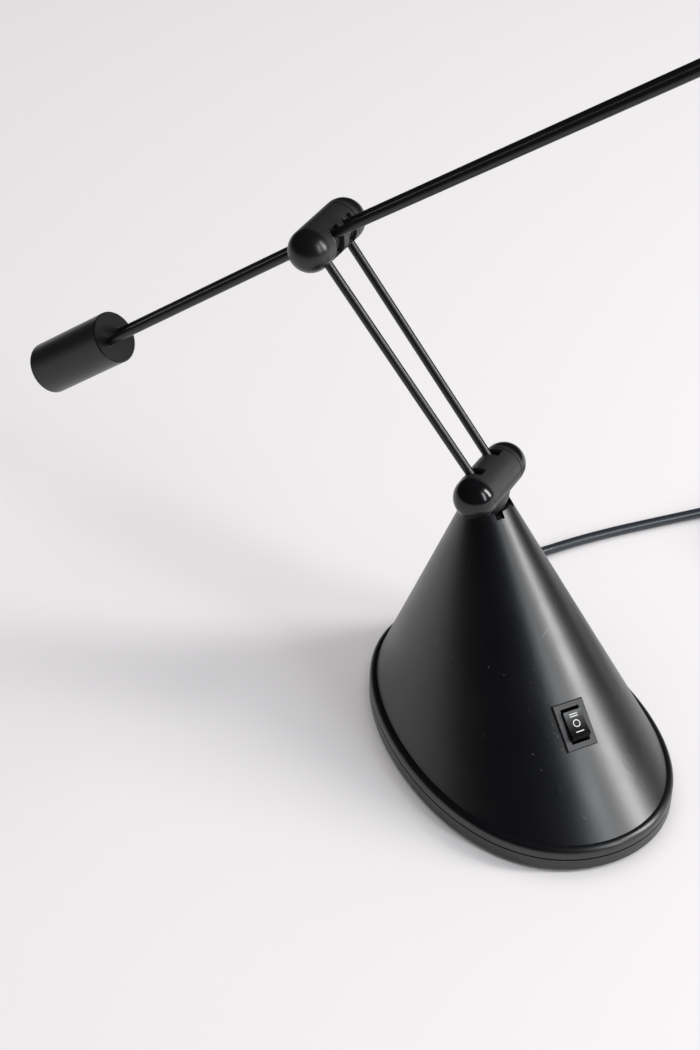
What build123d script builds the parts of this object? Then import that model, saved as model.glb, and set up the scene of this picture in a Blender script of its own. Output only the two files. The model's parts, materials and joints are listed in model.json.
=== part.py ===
from build123d import *
import math
import os

# A counterweight balance desk lamp: an oval cone base that holds a low-voltage transformer, a swivel
# neck, a twin-rod lower arm, and a twin-rod upper arm that carries a counterweight at one end and a
# small halogen head at the other. All sizes are in millimetres and degrees.
# The floor is z = 0, the swivel axis is the Z axis, and both arms move in the XZ plane.

os.makedirs("parts", exist_ok=True)

# ---------------------------------------------------------------- driving dimensions
# Base: a cone on an oval foot, its long axis turned from +X so that the head stands off to one side.
front_angle = -34.5
oval_half_length = 89.0
oval_half_width = 58.5
oval_offset = 35.6
oval_fullness = 0.05
oval_egg = 0.05
foot_height = 0.8
plate_height = 7.1
band_height = 5.2
shoulder_radius = 3.0
shoulder_step = 3.2
shell_height = 111.7
rim_radius = 10.3
rim_offset = -1.0
shell_wall = 2.2
rim_wall = 1.0
flank_lean = 24.0
seam_groove = 0.7
plate_edge = 1.2

notch_count = 6
notch_width = 4.0
notch_depth = 6.2
notch_first = 0.0

ledge_depth = 9.9
ledge_thickness = 4.0
ledge_bore = 5.0

plate_floor = 2.0
plate_rim = 2.6
post_radius = 3.6
post_clearance = 2.0
post_boss = 1.4
post_pilot_depth = 10.0
post_spots = ((98.0, 20.0), (98.0, -20.0), (-6.0, 40.0), (-6.0, -40.0))
plate_screw_radius = 1.75
plate_screw_fit = 0.15
plate_screw_bite = 9.0
plate_screw_head = 3.2
plate_screw_head_height = 1.6
plate_screw_head_room = 0.3
driver_reach = 4.0
driver_slot = 0.8
foot_spots = ((90.0, 36.0), (90.0, -36.0), (-26.0, 33.0), (-26.0, -33.0))
foot_radius = 6.0
foot_recess = 1.2
foot_edge = 0.4

# Rocker switch, in a flat pocket on the front of the cone
switch_down_slope = 98.0
bezel_length = 21.0
bezel_width = 15.0
bezel_thickness = 1.7
bezel_sink = 1.1
bezel_edge = 0.4
pocket_fit = 0.2
pocket_reach = 6.0
window_reach = 8.0
switch_body_length = 18.6
switch_body_width = 12.6
switch_body_depth = 15.0
switch_wall = 1.5
rocker_length = 14.2
rocker_width = 8.8
rocker_rise = 2.5
rocker_depth = 3.6
rocker_shoulder = 0.8
rocker_dish = 0.7
rocker_set = 7.0
rocker_pivot_depth = 1.6
rocker_pin_radius = 1.0
rocker_pin_length = 1.0
rocker_pin_room = 0.2
running_clearance = 0.05
rocker_gap = 0.8
rocker_side_gap = 0.15
blade_spacing = 6.0
blade_length = 7.0
blade_width = 4.8
blade_thickness = 0.8

# Transformer
core_width = 54.0
core_height = 44.0
core_depth = 26.0
core_forward = 26.0
window_width = 9.0
window_height = 26.0
bobbin_wall = 1.0
winding_bulge = 7.0
winding_fit = 0.3
winding_corner = 4.0
flange_lip = 1.0
strap_thickness = 1.2
strap_foot = 9.0
strap_width = 14.0
strap_screw_radius = 1.6
strap_screw_head = 2.9
strap_screw_head_height = 1.6

# Mains inlet
block_forward = -14.0
block_side = 16.0
block_length = 14.0
block_width = 20.0
block_height = 12.0
block_edge = 1.0
terminal_spacing = 9.0
terminal_radius = 2.2
terminal_depth = 5.0
terminal_screw_height = 3.5
terminal_slot_length = 3.4
terminal_slot_width = 0.7
terminal_slot_depth = 0.8

# Swivel neck
neck_rise = 11.6
neck_radius = 9.2
neck_bowl = 13.2
neck_rim_gap = 0.4
neck_foot_step = 0.6
shank_radius = 4.0
shank_end = 1.5
neck_bore = 2.4
neck_bore_overlap = 1.5
bush_flange = 1.5
bush_fit = 0.1
swivel_plate_thickness = 1.5
swivel_plate_gap = 0.2
bush_overhang = 0.6
washer_thickness = 1.2
washer_radius = 8.0
nut_height = 5.0
nut_across = 13.0
seat_screw_circle = 7.8
seat_screw_radius = 0.7
seat_screw_head = 1.1
seat_screw_head_height = 1.0
seat_screw_slot = 0.4
seat_screw_room = 0.15

# Joint capsules: a sleeve with one domed end, a domed cap, and a drum that turns inside
capsule_radius = 9.75
capsule_half = 14.3
head_capsule_half = 10.0
sleeve_bore = 8.0
drum_gap = 0.3
cap_groove = 0.5
lower_cap_lip = 2.05
upper_cap_lip = 2.75
head_cap_lip = 0.4
contact_thickness = 0.7
contact_bore = 5.0
spring_thickness = 0.5
end_play = 0.3
pivot_radius = 2.2
pivot_reach = 3.2
pivot_end_gap = 0.3
slot_side_gap = 0.5
slot_end_gap = 3.0
drum_end_wall = 0.3
slot_floor = 7.0
upper_slot_outer = 9.0
socket_depth = 6.4

# Arms
rod_radius = 2.0
lower_arm_length = 129.3
lower_arm_lean = 39.8
lower_rods_top = 20.0
lower_rods_bottom = 16.4
upper_arm_rise = 37.2
upper_arm_set = 1.2
upper_rods_at_joint = 9.0
upper_rods_at_weight = 9.4
upper_rods_at_head = 13.6
lower_rod_grip = 4.5
upper_arm_length = 300.0
weight_distance = 142.5
weight_length = 48.7
weight_radius = 12.45
weight_chamfer = 0.5
weight_bush_wall = 0.5
rod_end_gap = 6.0
grub_radius = 2.0
grub_depth = 5.0
grub_sunk = 0.6
grub_key = 1.0
grub_key_depth = 1.8
rod_set_radius = 60.0

# How far the slots let each arm tilt from the pose shown: first back, then towards +X and down.
lower_slot = (-14.0, 26.0)
upper_slot = (-2.0, 52.0)
head_slot = (-80.0, 5.0)

# Head
stem_radius = 2.5
stem_bore = 1.6
stem_seat = 3.5
head_lead_radius = 0.6
head_lead_gap = 0.3
shade_start = 14.0
shade_top_radius = 10.5
shade_radius = 36.0
shade_depth = 44.0
shade_wall = 1.2
collar_height = 6.0
collar_radius = 6.0
reflector_gap = 0.6
reflector_wall = 0.6
holder_radius = 7.0
holder_height = 11.0
bulb_radius = 4.6
bulb_length = 21.0
bulb_pin_radius = 0.4
bulb_pin_spacing = 4.0
bulb_pin_length = 6.0
bulb_foot_width = 9.0
bulb_foot_thickness = 4.4
bulb_foot_corner = 1.6
bulb_foot_height = 6.0
bulb_overlap = 1.5
holder_edge = 0.8
glass_thickness = 2.0
glass_inset = 3.0
glass_edge = 0.3
glass_margin = 1.6
ring_height = 2.6
ring_lip = 1.4
ring_fit = 0.15

# Mains cord
cord_diameter = 5.0
boot_length = 18.0
boot_collar = 1.0
boot_radius = 4.2
boot_tip_radius = 3.1
boot_flange_width = 13.0
boot_flange_height = 4.8
boot_flange_thickness = 1.6
boot_hole_radius = 3.6
boot_fit = 0.1
boot_wall_gap = 0.3
boot_flange_corner = 1.0
exit_turn = 150.0
coil_middle_radius = 30.0
coil_turns_in = 4.0
coil_turns_out = 4.25
coil_gap = 0.6
coil_lift = 0.9
tie_width = 6.0
tie_thickness = 0.5
tie_clearance = 0.45
tie_under = 0.3
plug_length = 34.0
plug_width = 26.0
plug_thickness = 14.4
plug_corner = 4.5
plug_edge = 1.2
plug_tail_width = 10.0
plug_tail_thickness = 9.0
plug_tail_corner = 3.0
plug_taper = 0.45
pin_radius = 2.0
pin_length = 19.0
pin_spacing = 19.0
pin_end = 1.0

# Wires
mains_lead_radius = 0.9
mains_lead_gap = 1.3
secondary_lead_radius = 0.8
secondary_lead_gap = 1.2
secondary_lead_drop = 16.0
secondary_lead_end = 0.4
mains_lead_bend = 2.0
lead_bend = 1.6
secondary_lead_bend = 2.2

# ---------------------------------------------------------------- worked-out places
turn = math.radians(front_angle)


def ahead(forward, side, up):
    """A point given from the base's own front, in the lamp's axes."""
    return Vector(
        forward * math.cos(turn) - side * math.sin(turn),
        forward * math.sin(turn) + side * math.cos(turn),
        up,
    )


base_plane = Plane(origin=(0, 0, 0), x_dir=ahead(1, 0, 0), z_dir=(0, 0, 1))
throat_plane = Plane(origin=ahead(rim_offset, 0, 0), x_dir=ahead(1, 0, 0), z_dir=(0, 0, 1))
seat_screw_count = notch_count
seam_height = foot_height + plate_height
band_top = seam_height + band_height
floor_top = foot_height + plate_floor
ledge_top = shell_height - ledge_depth
ledge_bottom = ledge_top - ledge_thickness
joint_axis = Vector(0, 1, 0)

lower_joint_height = shell_height + neck_rise
lower_joint = Vector(0, 0, lower_joint_height)
lean = math.radians(lower_arm_lean)
lower_arm_up = Vector(-math.sin(lean), 0, math.cos(lean))
upper_joint = lower_joint + lower_arm_up * lower_arm_length
rise = math.radians(upper_arm_rise)
head_way = Vector(math.cos(rise), 0, math.sin(rise))
weight_rise = math.radians(upper_arm_rise + upper_arm_set)
weight_way = Vector(-math.cos(weight_rise), 0, -math.sin(weight_rise))
head_joint = upper_joint + head_way * upper_arm_length

lower_drum_half = lower_rods_bottom / 2 + rod_radius + slot_side_gap
upper_drum_half = upper_rods_at_joint / 2 + rod_radius + drum_end_wall
head_drum_half = stem_radius + slot_side_gap + contact_thickness


def keep(part, name):
    """Label a finished piece and write it out."""
    part.label = name
    export_step(part, f"parts/{name}.step")


def oval(inset):
    """The foot's outline, drawn from a formula, moved in by inset all round."""
    points = []
    for step in range(36):
        angle = math.radians(step * 10)
        c = math.cos(angle)
        s = math.sin(angle)
        forward = (oval_half_length - inset) * c * (1 + oval_fullness * s * s)
        side = (oval_half_width - inset) * s * (1 + oval_fullness * c * c) * (1 + oval_egg * c)
        points.append((oval_offset + forward, side))
    return points


def ring_points(radius, offset):
    """A circle drawn with as many points as the oval, so that a loft between them runs true."""
    points = []
    for step in range(36):
        angle = math.radians(step * 10)
        points.append((offset + radius * math.cos(angle), radius * math.sin(angle)))
    return points


# ---------------------------------------------------------------- base shell
def cone(foot_inset, foot_level, top_radius, top_level):
    """The cone's flank as a solid between an oval foot and a round top."""
    with BuildPart() as flank:
        with BuildSketch(base_plane.offset(foot_level)):
            with BuildLine():
                Spline(*oval(foot_inset), periodic=True)
            make_face()
        with BuildSketch(base_plane.offset(top_level)):
            with BuildLine():
                Spline(*ring_points(top_radius, rim_offset), periodic=True)
            make_face()
        loft(ruled=True)
    return flank.part


def slab(inset, bottom, top):
    """An upright slab of the foot's outline."""
    with BuildPart() as block:
        with BuildSketch(base_plane.offset(bottom)):
            with BuildLine():
                Spline(*oval(inset), periodic=True)
            make_face()
        extrude(amount=top - bottom)
    return block.part


# The flank runs straight from the shoulder to the rim; its inside stops at the ledge.
rim_share = (ledge_bottom - band_top) / (shell_height - band_top)
ledge_outer_radius = rim_radius + (1 - rim_share) * (oval_half_width - shoulder_step - rim_radius)
inner_top_radius = ledge_outer_radius - shell_wall / math.cos(math.radians(flank_lean))

with BuildPart() as band:
    add(slab(0, seam_height, band_top))
    fillet(band.edges().group_by(Axis.Z)[-1], shoulder_radius)

with BuildPart() as shell_outer:
    add(band.part)
    add(cone(shoulder_step, band_top, rim_radius, shell_height))

with BuildPart() as shell_inner:
    add(slab(shell_wall, seam_height, band_top - shell_wall))
    add(cone(shoulder_step + shell_wall, band_top - shell_wall, inner_top_radius, ledge_bottom))

# Switch pocket: the front line of the flank carries the switch
slope_foot = Vector(oval_offset + oval_half_length - shoulder_step, 0, band_top)
slope_top = Vector(rim_offset + rim_radius, 0, shell_height)
down_slope = (slope_foot - slope_top).normalized()
switch_spot = slope_top + down_slope * switch_down_slope
switch_out = ahead(-down_slope.Z, 0, down_slope.X)
switch_origin = ahead(switch_spot.X, 0, switch_spot.Z)
switch_across = ahead(0, 1, 0)
down_line = ahead(down_slope.X, 0, down_slope.Z)
switch_plane = Plane(origin=switch_origin - switch_out * bezel_sink, x_dir=switch_across, z_dir=switch_out)

# Screw posts inside the shell, trimmed by its outside
with BuildPart() as posts:
    with BuildSketch(base_plane.offset(floor_top + post_clearance)):
        with Locations(*post_spots):
            Circle(post_radius)
    extrude(amount=ledge_bottom - floor_top)
    add(shell_outer.part, mode=Mode.INTERSECT)

# The cord's way out, at the height of the seam, on the side away from the switch
exit_angle = math.radians(exit_turn)
exit_forward = oval_half_length * math.cos(exit_angle) * (1 + oval_fullness * math.sin(exit_angle) ** 2)
exit_side = oval_half_width * math.sin(exit_angle) * (1 + oval_fullness * math.cos(exit_angle) ** 2)
exit_side = exit_side * (1 + oval_egg * math.cos(exit_angle))
exit_point = ahead(oval_offset + exit_forward, exit_side, seam_height)
exit_out = ahead(
    math.cos(exit_angle) / oval_half_length,
    math.sin(exit_angle) / oval_half_width,
    0,
).normalized()
exit_plane = Plane(origin=exit_point, z_dir=exit_out)

with BuildPart() as cord_hole:
    with BuildSketch(exit_plane.offset(-2 * shell_wall)):
        Circle(boot_hole_radius)
    extrude(amount=4 * shell_wall)

with BuildPart() as base_shell:
    add(shell_outer.part)
    add(shell_inner.part, mode=Mode.SUBTRACT)
    # the open throat above the ledge, and the hole in the ledge for the swivel
    with BuildSketch(base_plane.offset(ledge_top)):
        with Locations((rim_offset, 0)):
            Circle(rim_radius - rim_wall)
    extrude(amount=ledge_depth, mode=Mode.SUBTRACT)
    with BuildSketch(base_plane.offset(ledge_bottom)):
        Circle(ledge_bore)
    extrude(amount=ledge_thickness, mode=Mode.SUBTRACT)
    # air notches round the rim, round at the bottom
    for count in range(notch_count):
        notch_angle = front_angle + notch_first + count * 360 / notch_count
        notch_way = Vector(math.cos(math.radians(notch_angle)), math.sin(math.radians(notch_angle)), 0)
        notch_plane = Plane(
            origin=ahead(rim_offset, 0, shell_height),
            x_dir=notch_way.cross(Vector(0, 0, 1)),
            z_dir=notch_way,
        )
        with BuildSketch(notch_plane):
            with Locations((0, -(notch_depth - notch_width / 2))):
                Circle(notch_width / 2)
            with Locations((0, -(notch_depth - notch_width / 2) / 2 + 1)):
                Rectangle(notch_width, notch_depth - notch_width / 2 + 2)
        extrude(amount=2 * rim_radius, mode=Mode.SUBTRACT)
    add(posts.part)
    with BuildSketch(base_plane.offset(floor_top + post_clearance)):
        with Locations(*post_spots):
            Circle(plate_screw_radius)
    extrude(amount=post_pilot_depth, mode=Mode.SUBTRACT)
    # switch pocket and window
    with BuildSketch(switch_plane):
        Rectangle(bezel_width + pocket_fit, bezel_length + pocket_fit)
    extrude(amount=pocket_reach, mode=Mode.SUBTRACT)
    with BuildSketch(switch_plane):
        Rectangle(switch_body_width, switch_body_length)
    extrude(amount=-window_reach, mode=Mode.SUBTRACT)
    add(cord_hole.part, mode=Mode.SUBTRACT)
    # pilot holes for the swivel plate's screws
    with BuildSketch(throat_plane.offset(ledge_top)):
        with PolarLocations(seat_screw_circle, seat_screw_count, start_angle=notch_first):
            Circle(seat_screw_radius)
    extrude(amount=-ledge_thickness, mode=Mode.SUBTRACT)
keep(base_shell.part, "base_shell")

# ---------------------------------------------------------------- base plate
with BuildPart() as plate_blank:
    add(slab(0, foot_height, seam_height - seam_groove))
    chamfer(plate_blank.edges().group_by(Axis.Z)[0], plate_edge)
    add(slab(seam_groove, seam_height - seam_groove, seam_height))

with BuildPart() as base_plate:
    add(plate_blank.part)
    add(slab(plate_rim, floor_top, seam_height), mode=Mode.SUBTRACT)
    with BuildSketch(base_plane.offset(floor_top)):
        with Locations(*post_spots):
            Circle(post_radius + post_boss)
    extrude(amount=post_clearance)
    with BuildSketch(base_plane.offset(foot_height)):
        with Locations(*post_spots):
            Circle(plate_screw_radius + plate_screw_fit)
    extrude(amount=plate_floor + post_clearance, mode=Mode.SUBTRACT)
    with BuildSketch(base_plane.offset(foot_height)):
        with Locations(*post_spots):
            Circle(plate_screw_head + plate_screw_head_room)
    extrude(amount=plate_floor, mode=Mode.SUBTRACT)
    with BuildSketch(base_plane.offset(foot_height)):
        with Locations(*foot_spots):
            Circle(foot_radius)
    extrude(amount=foot_recess, mode=Mode.SUBTRACT)
    add(cord_hole.part, mode=Mode.SUBTRACT)
keep(base_plate.part, "base_plate")

with BuildPart() as rubber_feet:
    with BuildSketch(base_plane):
        with Locations(*foot_spots):
            Circle(foot_radius)
    extrude(amount=foot_height + foot_recess)
    chamfer(rubber_feet.edges().group_by(Axis.Z)[0], foot_edge)
keep(rubber_feet.part, "rubber_feet")

plate_screw_seat = foot_height + plate_floor
with BuildPart() as plate_screws:
    with BuildSketch(base_plane.offset(plate_screw_seat)):
        with Locations(*post_spots):
            Circle(plate_screw_radius)
    extrude(amount=post_clearance + plate_screw_bite)
    with BuildSketch(base_plane.offset(plate_screw_seat)):
        with Locations(*post_spots):
            Circle(plate_screw_head)
    extrude(amount=-plate_screw_head_height)
    with BuildSketch(base_plane.offset(plate_screw_seat - plate_screw_head_height)):
        with Locations(*post_spots):
            Rectangle(driver_reach, driver_slot)
            Rectangle(driver_slot, driver_reach)
    extrude(amount=driver_slot, mode=Mode.SUBTRACT)
keep(plate_screws.part, "plate_screws")

# ---------------------------------------------------------------- rocker switch
pivot_plane = switch_plane.offset(bezel_thickness - rocker_pivot_depth)
opening_length = rocker_length + 2 * rocker_gap
opening_width = rocker_width + 2 * rocker_side_gap

with BuildPart() as switch_body:
    with BuildSketch(switch_plane):
        Rectangle(bezel_width, bezel_length)
    extrude(amount=bezel_thickness)
    chamfer(switch_body.faces().sort_by(Axis(switch_plane.origin, switch_plane.z_dir))[-1].edges(), bezel_edge)
    with BuildSketch(switch_plane):
        Rectangle(switch_body_width, switch_body_length)
    extrude(amount=-switch_body_depth)
    with BuildSketch(switch_plane.offset(bezel_thickness)):
        Rectangle(opening_width, opening_length)
    extrude(amount=-(bezel_thickness + switch_body_depth - switch_wall), mode=Mode.SUBTRACT)
    with BuildSketch(Plane(origin=pivot_plane.origin, x_dir=switch_out, z_dir=switch_across)):
        Circle(rocker_pin_radius + running_clearance)
    extrude(amount=rocker_width / 2 + rocker_pin_length + rocker_pin_room, both=True, mode=Mode.SUBTRACT)
keep(switch_body.part, "switch_body")

# The rocker stands in its own plane, which runs up the switch in x and out of the panel in y. It is set
# with its upper end pressed in a little.
up_switch = switch_out.cross(switch_across)
rocker_lean = math.radians(rocker_set)
rocker_plane = Plane(
    origin=pivot_plane.origin,
    x_dir=up_switch * math.cos(rocker_lean) - switch_out * math.sin(rocker_lean),
    z_dir=switch_across,
)
# Its face, its shoulders and its foot all end on one circle round the pivot.
wheel = rocker_length / 2
face_height = rocker_pivot_depth + rocker_rise
face_half = math.sqrt(wheel**2 - face_height**2)
shoulder_half = math.sqrt(wheel**2 - rocker_shoulder**2)
foot_half = math.sqrt(wheel**2 - rocker_depth**2)
with BuildPart() as switch_rocker:
    with BuildSketch(rocker_plane):
        with BuildLine():
            ThreePointArc((-face_half, face_height), (0, face_height - rocker_dish), (face_half, face_height))
            Polyline(
                (face_half, face_height),
                (shoulder_half, rocker_shoulder),
                (foot_half, -rocker_depth),
                (-foot_half, -rocker_depth),
                (-shoulder_half, rocker_shoulder),
                (-face_half, face_height),
            )
        make_face()
    extrude(amount=rocker_width / 2, both=True)
    with BuildSketch(rocker_plane):
        Circle(rocker_pin_radius)
    extrude(amount=rocker_width / 2 + rocker_pin_length, both=True)
keep(switch_rocker.part, "switch_rocker")

with BuildPart() as switch_terminals:
    with BuildSketch(switch_plane.offset(-switch_body_depth)):
        with GridLocations(1, blade_spacing, 1, 3):
            Rectangle(blade_width, blade_thickness)
    extrude(amount=-blade_length)
keep(switch_terminals.part, "switch_terminals")

# ---------------------------------------------------------------- transformer
core_plane = Plane(origin=ahead(core_forward, 0, floor_top), x_dir=ahead(0, 1, 0), z_dir=ahead(1, 0, 0))
core_middle = core_height / 2
with BuildPart() as transformer_core:
    with BuildSketch(core_plane):
        with Locations((0, core_middle)):
            Rectangle(core_width, core_height)
        with GridLocations(core_width / 2, 1, 2, 1):
            with Locations((0, core_middle)):
                Rectangle(window_width, window_height, mode=Mode.SUBTRACT)
    extrude(amount=core_depth / 2, both=True)
keep(transformer_core.part, "transformer_core")

leg_width = core_width / 2 - window_width
with BuildPart() as transformer_bobbin:
    with BuildSketch(core_plane):
        with Locations((0, core_middle)):
            Rectangle(leg_width + 2 * bobbin_wall, window_height)
    extrude(amount=core_depth / 2 + bobbin_wall, both=True)
    for end in (-1, 1):
        flange_plane = Plane(
            origin=ahead(core_forward, 0, floor_top + core_middle + end * (window_height / 2 - bobbin_wall / 2)),
            x_dir=ahead(1, 0, 0),
            z_dir=(0, 0, 1),
        )
        with BuildSketch(flange_plane):
            Rectangle(core_depth + 2 * (winding_bulge + flange_lip), leg_width + 2 * window_width)
        extrude(amount=bobbin_wall / 2, both=True)
    with BuildSketch(core_plane):
        with Locations((0, core_middle)):
            Rectangle(leg_width, core_height)
    extrude(amount=core_depth / 2, both=True, mode=Mode.SUBTRACT)
keep(transformer_bobbin.part, "transformer_bobbin")

with BuildPart() as transformer_windings:
    winding_plane = Plane(
        origin=ahead(core_forward, 0, floor_top + core_middle),
        x_dir=ahead(1, 0, 0),
        z_dir=(0, 0, 1),
    )
    with BuildSketch(winding_plane):
        RectangleRounded(
            core_depth + 2 * winding_bulge,
            leg_width + 2 * (window_width - winding_fit),
            winding_corner,
        )
        Rectangle(core_depth + 2 * bobbin_wall, leg_width + 2 * bobbin_wall, mode=Mode.SUBTRACT)
    extrude(amount=window_height / 2 - bobbin_wall, both=True)
keep(transformer_windings.part, "transformer_windings")

with BuildPart() as transformer_bracket:
    with BuildSketch(core_plane):
        with Locations((0, (core_height + strap_thickness) / 2)):
            Rectangle(core_width + 2 * strap_thickness, core_height + strap_thickness)
        with Locations((0, core_height / 2)):
            Rectangle(core_width, core_height, mode=Mode.SUBTRACT)
        with Locations((0, strap_thickness / 2)):
            Rectangle(core_width + 2 * strap_foot, strap_thickness)
            Rectangle(core_width, strap_thickness, mode=Mode.SUBTRACT)
    extrude(amount=strap_width / 2, both=True)
    with BuildSketch(base_plane.offset(floor_top)):
        with Locations((core_forward, 0)):
            with GridLocations(1, core_width + strap_foot + strap_thickness, 1, 2):
                Circle(strap_screw_radius)
    extrude(amount=strap_thickness, mode=Mode.SUBTRACT)
keep(transformer_bracket.part, "transformer_bracket")

with BuildPart() as bracket_screws:
    with BuildSketch(base_plane.offset(floor_top)):
        with Locations((core_forward, 0)):
            with GridLocations(1, core_width + strap_foot + strap_thickness, 1, 2):
                Circle(strap_screw_radius)
    extrude(amount=strap_thickness)
    with BuildSketch(base_plane.offset(floor_top + strap_thickness)):
        with Locations((core_forward, 0)):
            with GridLocations(1, core_width + strap_foot + strap_thickness, 1, 2):
                Circle(strap_screw_head)
    extrude(amount=strap_screw_head_height)
keep(bracket_screws.part, "bracket_screws")

# ---------------------------------------------------------------- mains inlet inside the base
block_middle = ahead(block_forward, block_side, floor_top)
block_plane = Plane(origin=block_middle, x_dir=ahead(1, 0, 0), z_dir=(0, 0, 1))
with BuildPart() as terminal_block:
    with BuildSketch(block_plane):
        Rectangle(block_length, block_width)
    extrude(amount=block_height)
    chamfer(terminal_block.edges().group_by(Axis.Z)[-1], block_edge)
    with BuildSketch(block_plane.offset(block_height)):
        with GridLocations(1, terminal_spacing, 1, 2):
            Circle(terminal_radius)
    extrude(amount=-terminal_depth, mode=Mode.SUBTRACT)
keep(terminal_block.part, "terminal_block")

with BuildPart() as terminal_screws:
    with BuildSketch(block_plane.offset(block_height - terminal_depth)):
        with GridLocations(1, terminal_spacing, 1, 2):
            Circle(terminal_radius)
    extrude(amount=terminal_screw_height)
    with BuildSketch(block_plane.offset(block_height - terminal_depth + terminal_screw_height)):
        with GridLocations(1, terminal_spacing, 1, 2):
            Rectangle(terminal_slot_length, terminal_slot_width)
    extrude(amount=-terminal_slot_depth, mode=Mode.SUBTRACT)
keep(terminal_screws.part, "terminal_screws")


def lead(points, bend, radius):
    """A wire along straight runs joined by round bends."""
    with BuildPart() as wire:
        with BuildLine() as route:
            FilletPolyline(*points, radius=bend)
        with BuildSketch(Plane(origin=route.line @ 0, z_dir=route.line % 0)):
            Circle(radius)
        sweep(path=route.wires()[0])
    return wire.part


# ---------------------------------------------------------------- cord boot
# The flange sits close against the inside of the wall, so what would lie in the wall is trimmed away.
boot_inner = -(plate_rim + boot_flange_thickness + boot_wall_gap)
across_exit = Vector(0, 0, 1).cross(exit_out)
with BuildPart() as boot_flange:
    with BuildSketch(Plane(origin=exit_point + exit_out * boot_inner, x_dir=across_exit, z_dir=exit_out)):
        RectangleRounded(boot_flange_width, boot_flange_height, boot_flange_corner)
    extrude(amount=boot_flange_thickness)

with BuildPart() as cord_boot:
    add(boot_flange.part)
    with BuildSketch(exit_plane.offset(boot_inner)):
        Circle(boot_flange_height / 2)
    extrude(amount=-boot_inner)
    with BuildSketch(exit_plane.offset(-shell_wall)):
        Circle(boot_hole_radius - boot_fit)
    extrude(amount=shell_wall + boot_collar)
    with BuildSketch(exit_plane.offset(boot_collar)):
        Circle(boot_radius)
    with BuildSketch(exit_plane.offset(boot_length)):
        Circle(boot_tip_radius)
    loft()
keep(cord_boot.part, "cord_boot")

# ---------------------------------------------------------------- swivel
plate_top = ledge_top + swivel_plate_thickness
with BuildPart() as swivel_plate:
    with BuildSketch(throat_plane.offset(ledge_top)):
        Circle(rim_radius - rim_wall - swivel_plate_gap)
        with PolarLocations(seat_screw_circle, seat_screw_count, start_angle=notch_first):
            Circle(seat_screw_radius, mode=Mode.SUBTRACT)
    extrude(amount=swivel_plate_thickness)
    with BuildSketch(Plane.XY.offset(ledge_top)):
        Circle(ledge_bore)
    extrude(amount=swivel_plate_thickness, mode=Mode.SUBTRACT)
keep(swivel_plate.part, "swivel_plate")

with BuildPart() as swivel_screws:
    with BuildSketch(throat_plane.offset(plate_top)):
        with PolarLocations(seat_screw_circle, seat_screw_count, start_angle=notch_first):
            Circle(seat_screw_radius)
    extrude(amount=-(swivel_plate_thickness + ledge_thickness))
    with BuildSketch(throat_plane.offset(plate_top)):
        with PolarLocations(seat_screw_circle, seat_screw_count, start_angle=notch_first):
            Circle(seat_screw_head)
    extrude(amount=seat_screw_head_height)
    with BuildSketch(throat_plane.offset(plate_top + seat_screw_head_height)):
        with PolarLocations(seat_screw_circle, seat_screw_count, start_angle=notch_first):
            Rectangle(1.5 * seat_screw_head, seat_screw_slot)
    extrude(amount=-seat_screw_slot, mode=Mode.SUBTRACT)
keep(swivel_screws.part, "swivel_screws")

# The bush's flange is as wide as the nearest screw head allows.
bush_low = ledge_bottom - bush_overhang
near_screw = Vector(
    rim_offset + seat_screw_circle * math.cos(math.radians(notch_first)),
    seat_screw_circle * math.sin(math.radians(notch_first)),
    0,
)
with BuildPart() as swivel_bush:
    with BuildSketch(Plane.XY.offset(bush_low)):
        Circle(ledge_bore - bush_fit)
    extrude(amount=plate_top - bush_low)
    with BuildSketch(Plane.XY.offset(plate_top)):
        Circle(near_screw.length - seat_screw_head - seat_screw_room)
    extrude(amount=bush_flange)
    with BuildSketch(Plane.XY.offset(bush_low)):
        Circle(shank_radius + running_clearance)
    extrude(amount=plate_top + bush_flange - bush_low, mode=Mode.SUBTRACT)
keep(swivel_bush.part, "swivel_bush")

neck_foot = plate_top + bush_flange
neck_shoulder = neck_foot + neck_bowl
neck_waist = rim_radius - rim_wall - abs(rim_offset) - neck_rim_gap
neck_foot_radius = shank_radius + neck_foot_step
washer_low = bush_low - washer_thickness
nut_low = washer_low - nut_height
shank_low = nut_low - shank_end


def capsule_plane(joint, along):
    """A plane square to a joint's axis, at a distance along it."""
    return Plane(origin=joint + joint_axis * along, x_dir=(1, 0, 0), z_dir=joint_axis)


def sector(joint, half_from, half_to, start, stop, side, floor=0.0):
    """A cutter that opens a slot in a sleeve from angle start to stop, down to the floor's radius."""
    low = min(side * half_from, side * half_to)
    high = max(side * half_from, side * half_to)
    reach = capsule_radius * 1.6
    middle = (start + stop) / 2
    # the plane's y runs down the page, so the angles are turned about
    corners = []
    for angle in (start, middle, stop):
        corners.append((reach * math.cos(math.radians(-angle)), reach * math.sin(math.radians(-angle))))
    with BuildPart() as wedge:
        with BuildSketch(capsule_plane(joint, low)):
            with BuildLine():
                Line((0, 0), corners[0])
                ThreePointArc(*corners)
                Line(corners[2], (0, 0))
            make_face()
            if floor > 0:
                Circle(floor, mode=Mode.SUBTRACT)
        extrude(amount=high - low)
    return wedge.part


def sleeve_blank(joint, half, lip):
    """The sleeve's body: a tube closed by a dome on the near side, open for the cap on the far side."""
    far_end = half - lip - cap_groove
    with BuildPart() as blank:
        with BuildSketch(capsule_plane(joint, -half)):
            Circle(capsule_radius)
        extrude(amount=half + far_end)
        with Locations(Location(joint - joint_axis * half)):
            Sphere(capsule_radius)
    return blank.part


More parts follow.
